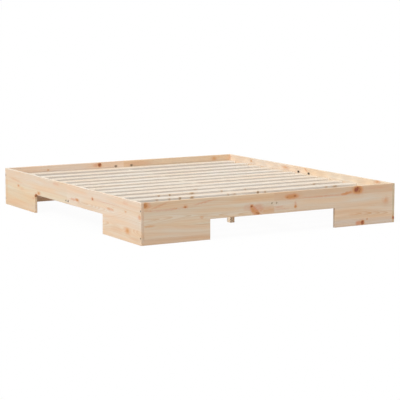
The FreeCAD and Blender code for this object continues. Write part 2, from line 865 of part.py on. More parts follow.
def corner_fasteners():
    """Bolts, barrel nuts and dowels of the four corners, drawn at the right rear corner."""
    bolt_shank = "panel_thickness - bolt_head_depth + corner_nut_inset + barrel_nut_diameter / 2 + bolt_tip"
    bolt_tip_x = "inner_x - corner_nut_inset - barrel_nut_diameter / 2 - bolt_tip"
    bolt = make_bolt("corner_bolt", bolt_shank)
    nut = make_barrel_nut("corner_barrel_nut")
    dowel = make_dowel("corner_dowel", "corner_dowel_seat + corner_dowel_reach")
    bolts = []
    nuts = []
    for height in CORNER_BOLT_HEIGHTS:
        bolts.append(linked(bolt, bolt_tip_x, "corner_y", height, HEAD_RIGHT))
        nut_y = "corner_y - barrel_nut_length / 2"
        nuts.append(linked(nut, "inner_x - corner_nut_inset", nut_y, height, HEAD_REAR))
    dowels = []
    for height in CORNER_DOWEL_HEIGHTS:
        dowels.append(linked(dowel, "inner_x - corner_dowel_reach", "corner_y", height, HEAD_RIGHT))
    named = {"corner_bolts": bolts, "corner_barrel_nuts": nuts, "corner_dowels": dowels}
    return [four_corners(label, pieces) for label, pieces in named.items()]


def four_corners(label, pieces):
    """A group that repeats the right rear pieces at all four corners."""
    return group(label, repeated(label, pieces, (X_AXIS, Y_AXIS)))


def joint_fasteners():
    """Cams, rods and dowels of the four middle joints, drawn on the right and rear sides."""
    middle_x = "inner_x + panel_thickness / 2"
    middle_y = "inner_y + panel_thickness / 2"
    rear_cam_turn = HEAD_FRONT.multiply(FreeCAD.Rotation(Z_AXIS, -QUARTER))
    cam = make_cam("joint_cam")
    cam_depth = "cam_sink + cam_length"
    cams = [
        linked(cam, f"inner_x + {cam_depth}", "cam_offset", "cam_height", HEAD_LEFT),
        linked(cam, "cam_offset", f"inner_y + {cam_depth}", "cam_height", rear_cam_turn),
    ]
    rod = make_rod("joint_rod")
    rod_half = "cam_offset + rod_head_past"
    right_rod = linked(rod, middle_x, f"-({rod_half})", "cam_height", HEAD_REAR)
    rear_rod = linked(rod, f"-({rod_half})", middle_y, "cam_height", HEAD_RIGHT)
    dowel = make_dowel("joint_dowel", "2 * joint_dowel_reach")
    right_dowel = linked(dowel, middle_x, "-joint_dowel_reach", "side_dowel_height", HEAD_REAR)
    rear_dowel = linked(dowel, "-joint_dowel_reach", middle_y, "end_dowel_height", HEAD_RIGHT)
    rods = repeated("side_rods", [right_rod], [X_AXIS]) + repeated("end_rods", [rear_rod], [Y_AXIS])
    dowels = repeated("side_dowels", [right_dowel], [X_AXIS])
    dowels += repeated("end_dowels", [rear_dowel], [Y_AXIS])
    return [four_corners("joint_cams", cams), group("joint_rods", rods), group("joint_dowels", dowels)]


def block_fasteners():
    """Bolts, inserts and screws of the blocks behind the middle joints."""
    shank = "panel_thickness - bolt_head_depth + insert_length"
    bolt = make_bolt("splice_bolt", shank)
    insert = make_insert("splice_insert")
    screw = make_screw("block_screw", "block_thickness + screw_bite")
    bolts = [
        linked(bolt, "inner_x - insert_length", "splice_bolt_offset", "side_bolt_height", HEAD_RIGHT),
        linked(bolt, "splice_bolt_offset", "inner_y - insert_length", "end_bolt_height", HEAD_REAR),
    ]
    inserts = [
        linked(insert, "inner_x - insert_length", "splice_bolt_offset", "side_bolt_height", HEAD_RIGHT),
        linked(insert, "splice_bolt_offset", "inner_y - insert_length", "end_bolt_height", HEAD_REAR),
    ]
    screws = [
        linked(screw, "inner_x + screw_bite", "splice_screw_offset", "side_bolt_height", HEAD_LEFT),
        linked(screw, "hanger_screw_offset", "inner_y + screw_bite", "hanger_screw_height", HEAD_FRONT),
    ]
    named = {"splice_bolts": bolts, "splice_inserts": inserts, "block_screws": screws}
    return [four_corners(label, pieces) for label, pieces in named.items()]


def strip_fasteners():
    """Screws of the ledgers and of the slats."""
    ledger_screw = make_screw("ledger_screw", "ledger_thickness + screw_bite")
    ledger_screws = []
    for step in LEDGER_SCREW_STEPS:
        point = ("inner_x + screw_bite", ledger_screw_centre(step), "ledger_screw_height")
        ledger_screws.append(linked(ledger_screw, *point, HEAD_LEFT))
    slat_screw = make_screw("slat_screw", "slat_thickness + slat_screw_bite")
    slat_screws = []
    for y in rear_slat_screw_centres():
        slat_screws.append(linked(
            slat_screw, "inner_x - ledger_thickness / 2", y, "slat_underside - slat_screw_bite"))
    named = {"ledger_screws": ledger_screws, "slat_screws": slat_screws}
    return [four_corners(label, pieces) for label, pieces in named.items()]


def beam_fasteners():
    """Bolts and nuts of the legs and of the beam's splice plate."""
    tongue_face = "(beam_thickness / 2 + leg_tongue_thickness)"
    beam_face = "(beam_thickness / 2)"
    plate_face = "(beam_thickness / 2 + plate_thickness)"
    past = "(nut_height + bolt_tip)"
    leg_bolt = make_bolt("leg_bolt", f"{tongue_face} + {past} + {beam_face}")
    middle_bolt = make_bolt("middle_leg_bolt", f"{tongue_face} + {past} + {plate_face}")
    plate_bolt = make_bolt("plate_bolt", f"{beam_face} + {past} + {plate_face}")
    nut = make_hex_nut("beam_nut")
    rear_bolts = []
    rear_nuts = []
    for y, z in leg_bolt_places("leg_spacing"):
        rear_bolts.append(linked(leg_bolt, f"{tongue_face} + {past}", y, z, HEAD_LEFT))
        rear_nuts.append(linked(nut, tongue_face, y, z, HEAD_RIGHT))
    for y, z in plate_bolt_places():
        rear_bolts.append(linked(plate_bolt, f"{beam_face} + {past}", y, z, HEAD_LEFT))
        rear_nuts.append(linked(nut, beam_face, y, z, HEAD_RIGHT))
    bolts = repeated("outer_beam_bolts", rear_bolts, [Y_AXIS])
    nuts = repeated("outer_beam_nuts", rear_nuts, [Y_AXIS])
    for y, z in leg_bolt_places("0"):
        bolts.append(linked(middle_bolt, f"{tongue_face} + {past}", y, z, HEAD_LEFT))
        nuts.append(linked(nut, tongue_face, y, z, HEAD_RIGHT))
    return [group("beam_bolts", bolts), group("beam_nuts", nuts)]


def quarters(make, modelled, beside, opposite, diagonal):
    """A piece that is made once and repeated by the bed's two planes of symmetry."""
    first = make(modelled)
    second = mirrored(first, beside, X_AXIS)
    third = mirrored(first, opposite, Y_AXIS)
    fourth = mirrored(second, diagonal, Y_AXIS)
    return [first, second, third, fourth]


def build():
    """Every piece of the bed, in the order in which it goes together."""
    nodes = quarters(
        make_side_panel, "right_rear_panel", "left_rear_panel", "right_front_panel", "left_front_panel")
    nodes += quarters(
        make_end_panel, "front_right_panel", "front_left_panel", "rear_right_panel", "rear_left_panel")
    nodes += quarters(
        make_ledger, "right_rear_ledger", "left_rear_ledger", "right_front_ledger", "left_front_ledger")
    right_block = make_splice_block("right_splice_block")
    nodes += [right_block, mirrored(right_block, "left_splice_block", X_AXIS)]
    front_hanger = make_hanger("front_hanger")
    nodes += [front_hanger, mirrored(front_hanger, "rear_hanger", Y_AXIS)]
    nodes += [make_beam("front_beam", False), make_beam("rear_beam", True), make_plate("beam_plate")]
    rear_leg = make_leg("rear_leg", "leg_spacing")
    nodes += [rear_leg, mirrored(rear_leg, "front_leg", Y_AXIS), make_leg("middle_leg", "0")]
    for number in range(1, 2 * SLATS_EACH_WAY + 2):
        nodes.append(make_slat(f"slat_{number:02d}", number - 1 - SLATS_EACH_WAY))
    nodes += corner_fasteners()
    nodes += joint_fasteners()
    nodes += block_fasteners()
    nodes += strip_fasteners()
    nodes += beam_fasteners()
    doc.recompute()
    return nodes


def check(nodes):
    """Stop if a feature failed, a cut removed nothing, or a piece is empty or unsound."""
    for item in doc.Objects:
        if "Invalid" in item.State or "Error" in item.State:
            raise RuntimeError(f"{item.Label} failed: {item.State}")
        if item.TypeId in ("PartDesign::Pocket", "PartDesign::Hole", "PartDesign::SubtractivePrism"):
            if item.Shape.Volume >= item.BaseFeature.Shape.Volume:
                raise RuntimeError(f"{item.Label} cuts nothing")
    for node in nodes:
        if node.Shape.isNull() or not node.Shape.isValid() or not node.Shape.Solids:
            raise RuntimeError(f"{node.Label} has no sound shape")


def export(nodes):
    """One file for each piece."""
    os.makedirs("parts", exist_ok=True)
    for node in nodes:
        node.Shape.exportStep(os.path.join("parts", node.Label + ".step"))
    print(f"{len(nodes)} pieces, {sum(len(node.Shape.Solids) for node in nodes)} solids")


pieces = build()
check(pieces)
export(pieces)
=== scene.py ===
"""Finishes the packed floor bed: edge-glued pine, slat wood, beech, zinc and the photo stage.

The solids of the bed come from the frame and keep their shapes. Each board gets a solid wood
pattern of its own, with growth rings about a pith, knots that go right through it and end grain.
"""

import math
import random
from collections import namedtuple

import bmesh
import bpy
from mathutils import Color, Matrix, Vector


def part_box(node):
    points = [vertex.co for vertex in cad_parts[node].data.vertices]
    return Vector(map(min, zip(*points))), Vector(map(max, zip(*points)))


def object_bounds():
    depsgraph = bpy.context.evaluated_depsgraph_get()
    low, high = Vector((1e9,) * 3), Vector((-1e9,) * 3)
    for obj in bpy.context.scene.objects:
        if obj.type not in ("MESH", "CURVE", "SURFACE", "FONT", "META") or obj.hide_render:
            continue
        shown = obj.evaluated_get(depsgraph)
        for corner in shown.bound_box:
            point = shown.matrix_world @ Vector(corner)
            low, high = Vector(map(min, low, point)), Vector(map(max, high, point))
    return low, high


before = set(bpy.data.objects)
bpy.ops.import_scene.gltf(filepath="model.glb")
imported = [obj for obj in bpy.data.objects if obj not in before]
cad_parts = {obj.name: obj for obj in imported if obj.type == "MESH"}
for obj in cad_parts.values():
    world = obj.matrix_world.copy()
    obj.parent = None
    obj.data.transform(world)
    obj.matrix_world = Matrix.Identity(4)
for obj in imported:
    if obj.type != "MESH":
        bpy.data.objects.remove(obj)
CAD_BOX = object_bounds()
MM = 0.001

bl_info = {
    "name": "Floor bed finish",
    "version": (1, 0, 0),
    "blender": (4, 5, 0),
    "location": "3D View > Sidebar > Floor bed",
    "description": "Gives the packed floor bed its wood, its metal and its stage",
    "category": "Object",
}

SIDE_PANELS = ("left_front_panel", "left_rear_panel", "right_front_panel", "right_rear_panel")
END_PANELS = ("front_left_panel", "front_right_panel", "rear_left_panel", "rear_right_panel")
SLAT_COUNT = 13
SLATS = tuple(f"slat_{number:02d}" for number in range(1, SLAT_COUNT + 1))
RAILS = (
    "left_front_ledger",
    "left_rear_ledger",
    "right_front_ledger",
    "right_rear_ledger",
    "left_splice_block",
    "right_splice_block",
    "front_hanger",
    "rear_hanger",
)
CENTRE_BEAM = ("front_beam", "rear_beam", "beam_plate")
LEGS = ("front_leg", "middle_leg", "rear_leg")
DOWELS = ("corner_dowels", "joint_dowels")
CAMS = ("joint_cams",)
CORNER_BOLTS = ("corner_bolts",)
JOINT_BOLTS = ("splice_bolts",)
ZINC_PIECES = (
    "corner_barrel_nuts",
    "joint_rods",
    "splice_inserts",
    "block_screws",
    "ledger_screws",
    "slat_screws",
    "beam_bolts",
    "beam_nuts",
)

# A knot, streak or stain: its middle along and across the board in the frame, its half length and
# half width, all in mm, its turn in degrees, and how strong it shows, from 0 to 1.
Mark = namedtuple("Mark", "along across long wide turn strength")

# A glued strip of a panel: the height of its lower edge in mm and its tint on the pine.
Strip = namedtuple("Strip", "foot tint")

# The glued strips of each panel, from the floor up.
STRIPS = {
    "left_front_panel": (
        Strip(0, (1.01, 1.00, 0.99)),
        Strip(85, (1.02, 1.06, 1.13)),
        Strip(163, (1.03, 1.05, 1.08)),
        Strip(198, (1.03, 1.05, 1.11)),
    ),
    "left_rear_panel": (
        Strip(0, (0.97, 0.93, 0.86)),
        Strip(52, (0.98, 0.97, 0.89)),
        Strip(122, (1.00, 1.05, 1.04)),
        Strip(163, (1.00, 1.02, 1.03)),
        Strip(205, (1.00, 1.03, 1.08)),
    ),
    "right_front_panel": (
        Strip(0, (1.00, 0.98, 0.98)),
        Strip(58, (1.03, 1.03, 1.04)),
        Strip(110, (1.00, 0.99, 1.00)),
        Strip(156, (1.05, 1.05, 1.06)),
        Strip(210, (1.04, 1.04, 1.05)),
    ),
    "right_rear_panel": (
        Strip(0, (1.01, 1.02, 1.03)),
        Strip(46, (0.99, 0.97, 0.98)),
        Strip(104, (1.03, 1.05, 1.10)),
        Strip(168, (1.02, 1.00, 1.03)),
        Strip(214, (1.04, 1.05, 1.11)),
    ),
    "front_left_panel": (
        Strip(0, (0.96, 0.93, 0.91)),
        Strip(35, (1.01, 1.03, 1.04)),
        Strip(98, (1.02, 1.10, 1.15)),
        Strip(125, (1.01, 1.07, 1.11)),
        Strip(205, (1.00, 0.97, 0.92)),
    ),
    "front_right_panel": (
        Strip(0, (0.97, 1.01, 1.09)),
        Strip(42, (1.03, 1.03, 1.03)),
        Strip(122, (1.02, 1.06, 1.10)),
        Strip(205, (0.96, 0.90, 0.85)),
    ),
    "rear_left_panel": (
        Strip(0, (1.05, 0.92, 0.84)),
        Strip(50, (1.05, 0.94, 0.87)),
        Strip(96, (1.03, 0.96, 0.92)),
        Strip(150, (1.08, 1.05, 1.10)),
        Strip(196, (1.09, 1.05, 1.10)),
    ),
    "rear_right_panel": (
        Strip(0, (1.03, 1.01, 1.02)),
        Strip(62, (1.00, 0.95, 0.91)),
        Strip(118, (1.04, 1.03, 1.05)),
        Strip(172, (1.04, 0.96, 0.90)),
        Strip(202, (1.05, 0.97, 0.90)),
    ),
}

# The knots of each panel.
KNOTS = {
    "left_front_panel": (
        Mark(-152, 168, 26, 8, 3, 0.54),
        Mark(-376, 202, 12, 7, 0, 0.85),
        Mark(-600, 168, 26, 7, 4, 0.26),
        Mark(-655, 169, 14, 7, -6, 0.26),
        Mark(-828, 179, 12, 6, 0, 0.36),
        Mark(-850, 67, 26, 17, 0, 0.44),
        Mark(-1013, 165, 15, 12, 0, 0.30),
    ),
    "left_rear_panel": (
        Mark(793, 156, 15, 8, 0, 0.50),
        Mark(448, 140, 21, 12, 0, 0.54),
        Mark(490, 124, 27, 9, 0, 1.00),
        Mark(511, 118, 8, 9, 0, 0.90),
    ),
    "right_front_panel": (
        Mark(-862, 247, 22, 9, 0, 0.30),
        Mark(-1022, 31, 14, 13, 0, 1.00),
        Mark(-640, 90, 17, 13, 0, 0.80),
        Mark(-318, 178, 13, 10, 0, 0.62),
        Mark(-112, 150, 8, 7, 0, 0.90),
        Mark(-780, 40, 10, 8, 0, 0.50),
    ),
    "right_rear_panel": (
        Mark(695, 235, 17, 8, 0, 0.52),
        Mark(235, 233, 30, 12, 0, 0.28),
        Mark(880, 120, 19, 14, 0, 0.90),
        Mark(612, 44, 10, 8, 0, 0.65),
        Mark(430, 170, 13, 9, 15, 0.55),
        Mark(120, 162, 8, 8, 0, 0.80),
    ),
    "front_left_panel": (
        Mark(-899, 238, 18, 19, 0, 0.66),
        Mark(-631, 211, 15, 8, 0, 0.62),
        Mark(-693, 205, 8, 4, 0, 0.46),
        Mark(-166, 181, 13, 12, 0, 0.76),
        Mark(-152, 156, 24, 12, -48, 0.44),
        Mark(-122, 138, 18, 10, -12, 0.74),
    ),
    "front_right_panel": (
        Mark(97, 220, 12, 9, 0, 0.55),
        Mark(126, 221, 50, 14, 0, 0.46),
        Mark(152, 223, 20, 12, 0, 0.62),
        Mark(157, 158, 13, 12, 0, 0.48),
        Mark(545, 214, 42, 6, 3, 0.42),
        Mark(632, 232, 39, 27, 0, 0.85),
        Mark(856, 147, 18, 20, 0, 0.22),
        Mark(673, 17, 16, 18, 0, 1.00),
        Mark(710, 37, 6, 5, 0, 0.60),
    ),
    "rear_left_panel": (
        Mark(-197, 236, 17, 15, 0, 1.00),
        Mark(-604, 222, 8, 7, 0, 0.42),
        Mark(-820, 70, 17, 13, 0, 0.80),
        Mark(-560, 118, 11, 8, 0, 0.56),
        Mark(-330, 170, 14, 10, 0, 0.72),
        Mark(-700, 30, 8, 8, 0, 0.85),
    ),
    "rear_right_panel": (
        Mark(772, 229, 17, 12, 0, 0.36),
        Mark(560, 88, 18, 14, 0, 0.88),
        Mark(300, 182, 11, 9, 0, 0.66),
        Mark(846, 140, 12, 9, 0, 0.56),
        Mark(92, 148, 8, 7, 0, 0.80),
        Mark(690, 26, 11, 8, 0, 0.48),
    ),
}

# Red-brown resin beside the knots.
STREAKS = {
    "left_front_panel": (
        Mark(-95, 166, 50, 8, 2, 0.62),
        Mark(-150, 168, 44, 12, 0, 0.55),
        Mark(-376, 202, 30, 11, 0, 0.45),
        Mark(-570, 200, 190, 3, 0, 0.42),
        Mark(-625, 168, 48, 10, 0, 0.45),
        Mark(-825, 230, 42, 12, 0, 0.24),
        Mark(-1005, 165, 24, 18, 0, 0.45),
    ),
    "left_rear_panel": (
        Mark(793, 156, 30, 12, 0, 0.35),
        Mark(540, 98, 20, 10, 0, 0.28),
        Mark(170, 236, 60, 10, 0, 0.35),
    ),
    "right_front_panel": (
        Mark(-30, 240, 26, 7, 25, 0.80),
        Mark(-862, 247, 40, 14, 0, 0.45),
        Mark(-500, 200, 180, 4, 0, 0.30),
        Mark(-820, 120, 120, 6, 0, 0.30),
        Mark(-640, 90, 36, 22, 0, 0.35),
    ),
    "right_rear_panel": (
        Mark(235, 233, 62, 15, 0, 0.34),
        Mark(620, 190, 160, 4, 0, 0.30),
        Mark(1002, 236, 17, 20, 0, 0.42),
        Mark(880, 120, 42, 24, 0, 0.35),
    ),
    "front_left_panel": (
        Mark(-890, 238, 34, 22, 0, 0.50),
        Mark(-706, 205, 32, 4, 0, 0.60),
        Mark(-144, 156, 56, 26, -42, 0.95),
        Mark(-116, 166, 44, 32, 0, 0.55),
        Mark(-196, 176, 34, 24, 0, 0.30),
        Mark(-775, 203, 140, 6, 0, 0.38),
        Mark(-805, 230, 70, 7, 17, 0.42),
        Mark(-498, 231, 92, 7, 9, 0.50),
        Mark(-631, 211, 28, 13, 0, 0.35),
    ),
    "front_right_panel": (
        Mark(360, 208, 190, 6, 0, 0.48),
        Mark(548, 214, 58, 11, 8, 0.95),
        Mark(130, 223, 62, 20, 0, 0.85),
        Mark(632, 229, 54, 30, 0, 0.62),
        Mark(642, 16, 26, 16, 0, 0.95),
        Mark(157, 170, 10, 26, 0, 0.50),
        Mark(780, 236, 120, 10, 0, 0.25),
        Mark(30, 164, 50, 6, 0, 0.40),
        Mark(60, 150, 70, 5, 0, 0.35),
        Mark(190, 131, 70, 5, 0, 0.18),
        Mark(858, 147, 26, 26, 0, 0.25),
    ),
    "rear_left_panel": (
        Mark(-228, 236, 26, 17, 0, 0.52),
        Mark(-520, 150, 200, 4, 0, 0.30),
        Mark(-820, 70, 38, 22, 0, 0.35),
    ),
    "rear_right_panel": (
        Mark(120, 230, 160, 18, 0, 0.28),
        Mark(520, 120, 200, 5, 0, 0.30),
        Mark(772, 229, 30, 20, 0, 0.30),
        Mark(560, 88, 40, 24, 0, 0.35),
    ),
}

# Ochre heartwood that shows through in patches.
STAINS = {
    "left_front_panel": (
        Mark(-710, 56, 90, 24, 0, 0.28),
        Mark(-850, 67, 48, 28, 0, 0.42),
        Mark(-940, 30, 80, 12, 0, 0.25),
    ),
    "left_rear_panel": (
        Mark(830, 189, 135, 9, 5, 0.45),
        Mark(735, 143, 40, 14, 0, 0.28),
        Mark(1000, 110, 26, 100, 0, 0.25),
        Mark(448, 142, 40, 18, 0, 0.35),
        Mark(870, 24, 150, 16, 0, 0.32),
    ),
    "front_left_panel": (
        Mark(-42, 150, 80, 32, 0, 0.55),
        Mark(-882, 204, 32, 7, 0, 0.50),
        Mark(-872, 113, 44, 9, 4, 0.60),
        Mark(-516, 141, 16, 10, 0, 0.60),
        Mark(-700, 24, 240, 10, 0, 0.18),
    ),
    "front_right_panel": (Mark(690, 76, 190, 9, 0, 0.32),),
}

# Tints of the end grain of some panels: the lighter cut end of the left rear panel is painted light,
# the darker ends of the front right panel are painted shade, and the two others are darker.
END_LIGHT_AND_SHADE = {
    "left_rear_panel": (1.26, 1.36, 1.50),
    "left_front_panel": (0.94, 0.93, 0.92),
    "right_front_panel": (0.84, 0.90, 0.86),
    "front_right_panel": (0.80, 0.80, 0.80),
}

# Dark knots on the front edge of the slats: place along the slat and half length in mm, and strength.
SLAT_EDGE_KNOTS = {
    "slat_03": (
        (-612, 12, 0.27),
        (-522, 9, 0.31),
        (-448, 9, 0.70),
        (-362, 18, 0.50),
        (-97, 7, 0.30),
        (-49, 12, 0.27),
        (127, 10, 0.60),
        (183, 8, 0.38),
        (660, 14, 0.32),
        (731, 24, 0.36),
    ),
    "slat_04": (
        (-512, 9, 0.35),
        (-434, 9, 0.55),
        (-272, 22, 0.45),
        (-50, 11, 0.30),
        (130, 12, 0.25),
        (672, 12, 0.30),
    ),
    "slat_05": ((-158, 16, 0.22),),
}

# Painted shade in the hole of a cam or round the head of a joint bolt in a panel: its distance from the
# middle joint, its height, its half length and half width in mm, whether it is on the outside of the
# bed, and how much of the dark colour it shows.
Bore = namedtuple("Bore", "offset height half_length half_width outside share")

# The cam holes inside the long sides, the bolt heads outside them and the cam holes of the short sides
# get painted shade.
SIDE_BORE_SHADES = (Bore(64, 218, 15, 8.5, False, 0.72), Bore(16, 144, 7, 7, True, 1.00))
END_BORE_SHADES = (Bore(64, 220, 13, 9, False, 0.40),)

# How far a slat's edge knots reach in from the edge, in mm.
EDGE_KNOT_DEPTH = 4.0

# How much of the pale edge colour the slats and the beam show on their narrow faces, as painted light.
SLAT_EDGE_LIGHT_SHARE = 0.5

# The legs are made paler than the beam, as painted light on their lit faces, and browner on their
# narrow faces, as painted shade under the bed.
LEG_LIGHT_TINT = (1.32, 1.34, 1.28)
LEG_EDGE_SHADE_SHARE = 0.44

# A tint that changes nothing.
PLAIN = (1.0, 1.0, 1.0)

# What a board shows: its glued strips, knots, resin streaks, ochre stains, the tint of its ends, which
# is painted light and shade on some panels, the colour of its narrow faces with its share, which is
# painted light on the slats and the beam and painted shade on the legs, and its painted shade round the
# holes.
Figure = namedtuple(
    "Figure", "strips knots streaks stains ends edges bores", defaults=((), (), PLAIN, None, ())
)


def screen_colour(red, green, blue):
    """A colour as it shows on a screen, 0 to 255 a channel, as the linear colour Blender keeps."""
    shown = Color((red / 255, green / 255, blue / 255))
    return (*shown.from_srgb_to_scene_linear(), 1.0)


def colour_property(label, text, red, green, blue):
    """A colour that a user can change, given as it shows on a screen."""
    return bpy.props.FloatVectorProperty(
        name=label,
        description=text,
        subtype="COLOR",
        size=4,
        min=0.0,
        max=1.0,
        default=screen_colour(red, green, blue),
    )


def share_property(label, text, default):
    """A share from 0 to 1 that a user can change."""
    return bpy.props.FloatProperty(
        name=label, description=text, subtype="FACTOR", min=0.0, max=1.0, default=default
    )


def length_property(label, text, default_mm):
    """A length that a user can change, given in mm."""
    return bpy.props.FloatProperty(
        name=label, description=text, unit="LENGTH", min=0.0, precision=4, default=default_mm * MM
    )


def angle_property(label, text, default_degrees):
    """An angle that a user can change, given in degrees."""
    return bpy.props.FloatProperty(
        name=label, description=text, subtype="ANGLE", default=math.radians(default_degrees)
    )


class PineSettings(bpy.types.PropertyGroup):
    """Pine of the panels, the ledgers and the blocks."""

    earlywood: colour_property("Earlywood", "Pale wood between the ring lines", 225, 211, 191)
    latewood: colour_property("Latewood", "Darker line at the end of each ring", 205, 171, 130)
    streak: colour_property("Streak", "Resin-stained wood beside the knots", 206, 134, 94)
    halo: colour_property("Halo", "Warm wood round a knot", 210, 158, 106)
    knot: colour_property("Knot", "Heart of a knot", 142, 72, 48)
    # Painted shade in the cam holes and round the joint bolts of the panels.
    bore: colour_property("Bore", "Dark wood round the cams and the joint bolts", 40, 32, 26)
    ring_spacing: length_property("Ring spacing", "Width of one year's growth", 4.2)
    relief: length_property("Relief", "Height of the grain above the surface", 0.25)
    roughness: share_property("Roughness", "Roughness of the sanded surface", 0.52)


class SlatSettings(bpy.types.PropertyGroup):
    """Paler softwood of the slats, the centre beam and the legs."""

    earlywood: colour_property("Earlywood", "Pale wood between the ring lines", 225, 213, 198)
    latewood: colour_property("Latewood", "Darker line at the end of each ring", 211, 193, 169)
    # This colour is also painted shade on the narrow faces of the legs.
    streak: colour_property("Streak", "Stained wood beside the knots", 190, 158, 122)
    halo: colour_property("Halo", "Warm wood round a knot", 204, 174, 138)
    knot: colour_property("Knot", "Heart of a knot", 104, 78, 58)
    # Painted light: the slats and the beam show this pale colour on their narrow faces.
    edge: colour_property("Edge", "Fresh-sawn edges", 244, 240, 232)
    ring_spacing: length_property("Ring spacing", "Width of one year's growth", 3.0)
    relief: length_property("Relief", "Height of the grain above the surface", 0.2)
    roughness: share_property("Roughness", "Roughness of the planed surface", 0.58)


class FittingSettings(bpy.types.PropertyGroup):
    """Dowels, bolts, screws and cams."""

    beech: colour_property("Beech", "Wood of the dowels", 206, 166, 126)
    beech_fleck: colour_property("Beech fleck", "Short dark flecks in the beech", 158, 110, 74)
    zinc: colour_property("Zinc", "Plated steel of nuts, screws and end bolts", 198, 182, 158)
    zinc_stain: colour_property("Zinc stain", "Duller patches in the plating", 150, 136, 116)
    # Painted shade: darker copies of the plated and cast metal, for the corner bolts, the joint bolts
    # and the cams in the long sides of the bed.
    corner_bolt_shade: colour_property("Bronze", "Bronzed corner bolts of the long sides", 58, 48, 38)
    joint_bolt_shade: colour_property("Black", "Blackened joint bolts of the long sides", 20, 16, 13)
    cam: colour_property("Cam", "Cast cams in the joints of the short sides", 172, 152, 128)
    cam_shade: colour_property("Dark cam", "Cast cams in the joints of the long sides", 84, 70, 56)
    cam_stain: colour_property("Cam stain", "Darker skin of the castings", 136, 118, 98)


class StageSettings(bpy.types.PropertyGroup):
    """Floor, light and camera."""

    azimuth: angle_property("Azimuth", "Camera's turn round the bed", -30.02)
    elevation: angle_property("Elevation", "Camera's angle above the floor", 7.887)
    distance: bpy.props.FloatProperty(
        name="Distance", description="From the camera to its aim", unit="LENGTH", default=9.967
    )
    aim: bpy.props.FloatVectorProperty(
        name="Aim",
        description="Point that the camera looks at",
        subtype="XYZ",
        default=(0.0322, -0.0561, 0.0905),
    )
    lens: bpy.props.FloatProperty(
        name="Lens", description="Focal length on a 36 mm sensor, in mm", default=132.83
    )
    floor: colour_property("Floor", "Floor as the camera sees it", 238, 238, 238)
    bounce: colour_property("Floor bounce", "Floor as it throws light back on the bed", 172, 142, 121)
    shadow: share_property("Shadow", "How much of the bed's shadow shows on the floor", 0.05)
    ambient: bpy.props.FloatProperty(
        name="Ambient", description="Even light from all round", min=0.0, default=0.62
    )
    side_light: bpy.props.FloatProperty(
        name="Side light", description="Soft light from the left of the bed", min=0.0, default=1.8
    )
    front_light: bpy.props.FloatProperty(
        name="Front light", description="Soft light from in front of the bed", min=0.0, default=1.09
    )


class Value:
    """A node's output in Python arithmetic: each operator adds a Math node."""

    def __init__(self, shader, socket):
        self.shader = shader
        self.socket = socket

    def math(self, operation, *others):
        return self.shader.math(operation, self, *others)

    def __add__(self, other):
        return self.math("ADD", other)

    __radd__ = __add__

    def __sub__(self, other):
        return self.math("SUBTRACT", other)

    def __rsub__(self, other):
        return self.shader.math("SUBTRACT", other, self)

    def __mul__(self, other):
        return self.math("MULTIPLY", other)

    __rmul__ = __mul__

    def __truediv__(self, other):
        return self.math("DIVIDE", other)

    def lower(self, other):
        return self.math("MINIMUM", other)

    def higher(self, other):
        return self.math("MAXIMUM", other)

    def sibling(self, name):
        """Another output of the same node."""
        return Value(self.shader, self.socket.node.outputs[name])

    def ease(self, start, end):
        """0 at start and 1 at end, with a smooth rise between them."""
        return self.shader.node(
            "MapRange",
            {"interpolation_type": "SMOOTHSTEP"},
            {"Value": self, "From Min": start, "From Max": end},
        )


# The colour inputs and the colour output of the Mix node by number, because their names repeat.
MIX_FIRST = 6
MIX_SECOND = 7
MIX_RESULT = 2


class Shader:
    """The node tree of one material or world."""

    def __init__(self, owner):
        owner.use_nodes = True
        self.owner = owner
        self.tree = owner.node_tree
        self.tree.nodes.clear()

    def node(self, kind, settings=None, inputs=None, output=0):
        """Adds a node, sets it up, feeds its sockets and gives back one of its outputs."""
        made = self.tree.nodes.new("ShaderNode" + kind)
        for name, setting in (settings or {}).items():
            if name == "stops":
                set_stops(made.color_ramp, setting)
            else:
                setattr(made, name, setting)
        for name, given in (inputs or {}).items():
            if isinstance(given, Value):
                self.tree.links.new(given.socket, made.inputs[name])
            else:
                made.inputs[name].default_value = given
        if not made.outputs:
            return None
        return Value(self, made.outputs[output])

    def math(self, operation, *operands):
        return self.node("Math", {"operation": operation}, dict(enumerate(operands)))

    def split(self, vector):
        """The three numbers of a vector."""
        first = self.node("SeparateXYZ", inputs={"Vector": vector})
        return [Value(self, socket) for socket in first.socket.node.outputs]

    def vector(self, x, y, z):
        return self.node("CombineXYZ", inputs={0: x, 1: y, 2: z})

    def scaled(self, point, rates):
        """A point drawn out along each axis, for a pattern that changes at its own rate there."""
        return self.node("VectorMath", {"operation": "MULTIPLY"}, {0: point, 1: rates})

    def noise(self, point, scale, detail=2.0):
        """Noise in space, about 0.5 on average."""
        return self.node("TexNoise", inputs={"Vector": point, "Scale": scale, "Detail": detail})

    def wave(self, place, detail=0.0):
        """Noise along one number, about 0.5 on average."""
        inputs = {"W": place, "Scale": 1.0, "Detail": detail}
        return self.node("TexNoise", {"noise_dimensions": "1D"}, inputs)

    def mix(self, share, first, second, blend="MIX"):
        """Two colours mixed, or blended as the Mix node can."""
        settings = {"data_type": "RGBA", "blend_type": blend}
        inputs = {0: share, MIX_FIRST: first, MIX_SECOND: second}
        return self.node("Mix", settings, inputs, MIX_RESULT)

    def tint(self, colour, tint):
        """A colour times a tint."""
        return self.mix(1.0, colour, tint, "MULTIPLY")

    def surface(self, shader_socket):
        """Ends the material with its finish, and gives it back."""
        self.node("OutputMaterial", inputs={"Surface": shader_socket})
        return self.owner


def set_stops(ramp, stops):
    """Stops of a ramp that steps from one colour to the next."""
    ramp.interpolation = "CONSTANT"
    while len(ramp.elements) < len(stops):
        ramp.elements.new(1.0)
    for element, (position, colour) in zip(ramp.elements, stops):
        element.position = position
        element.color = colour


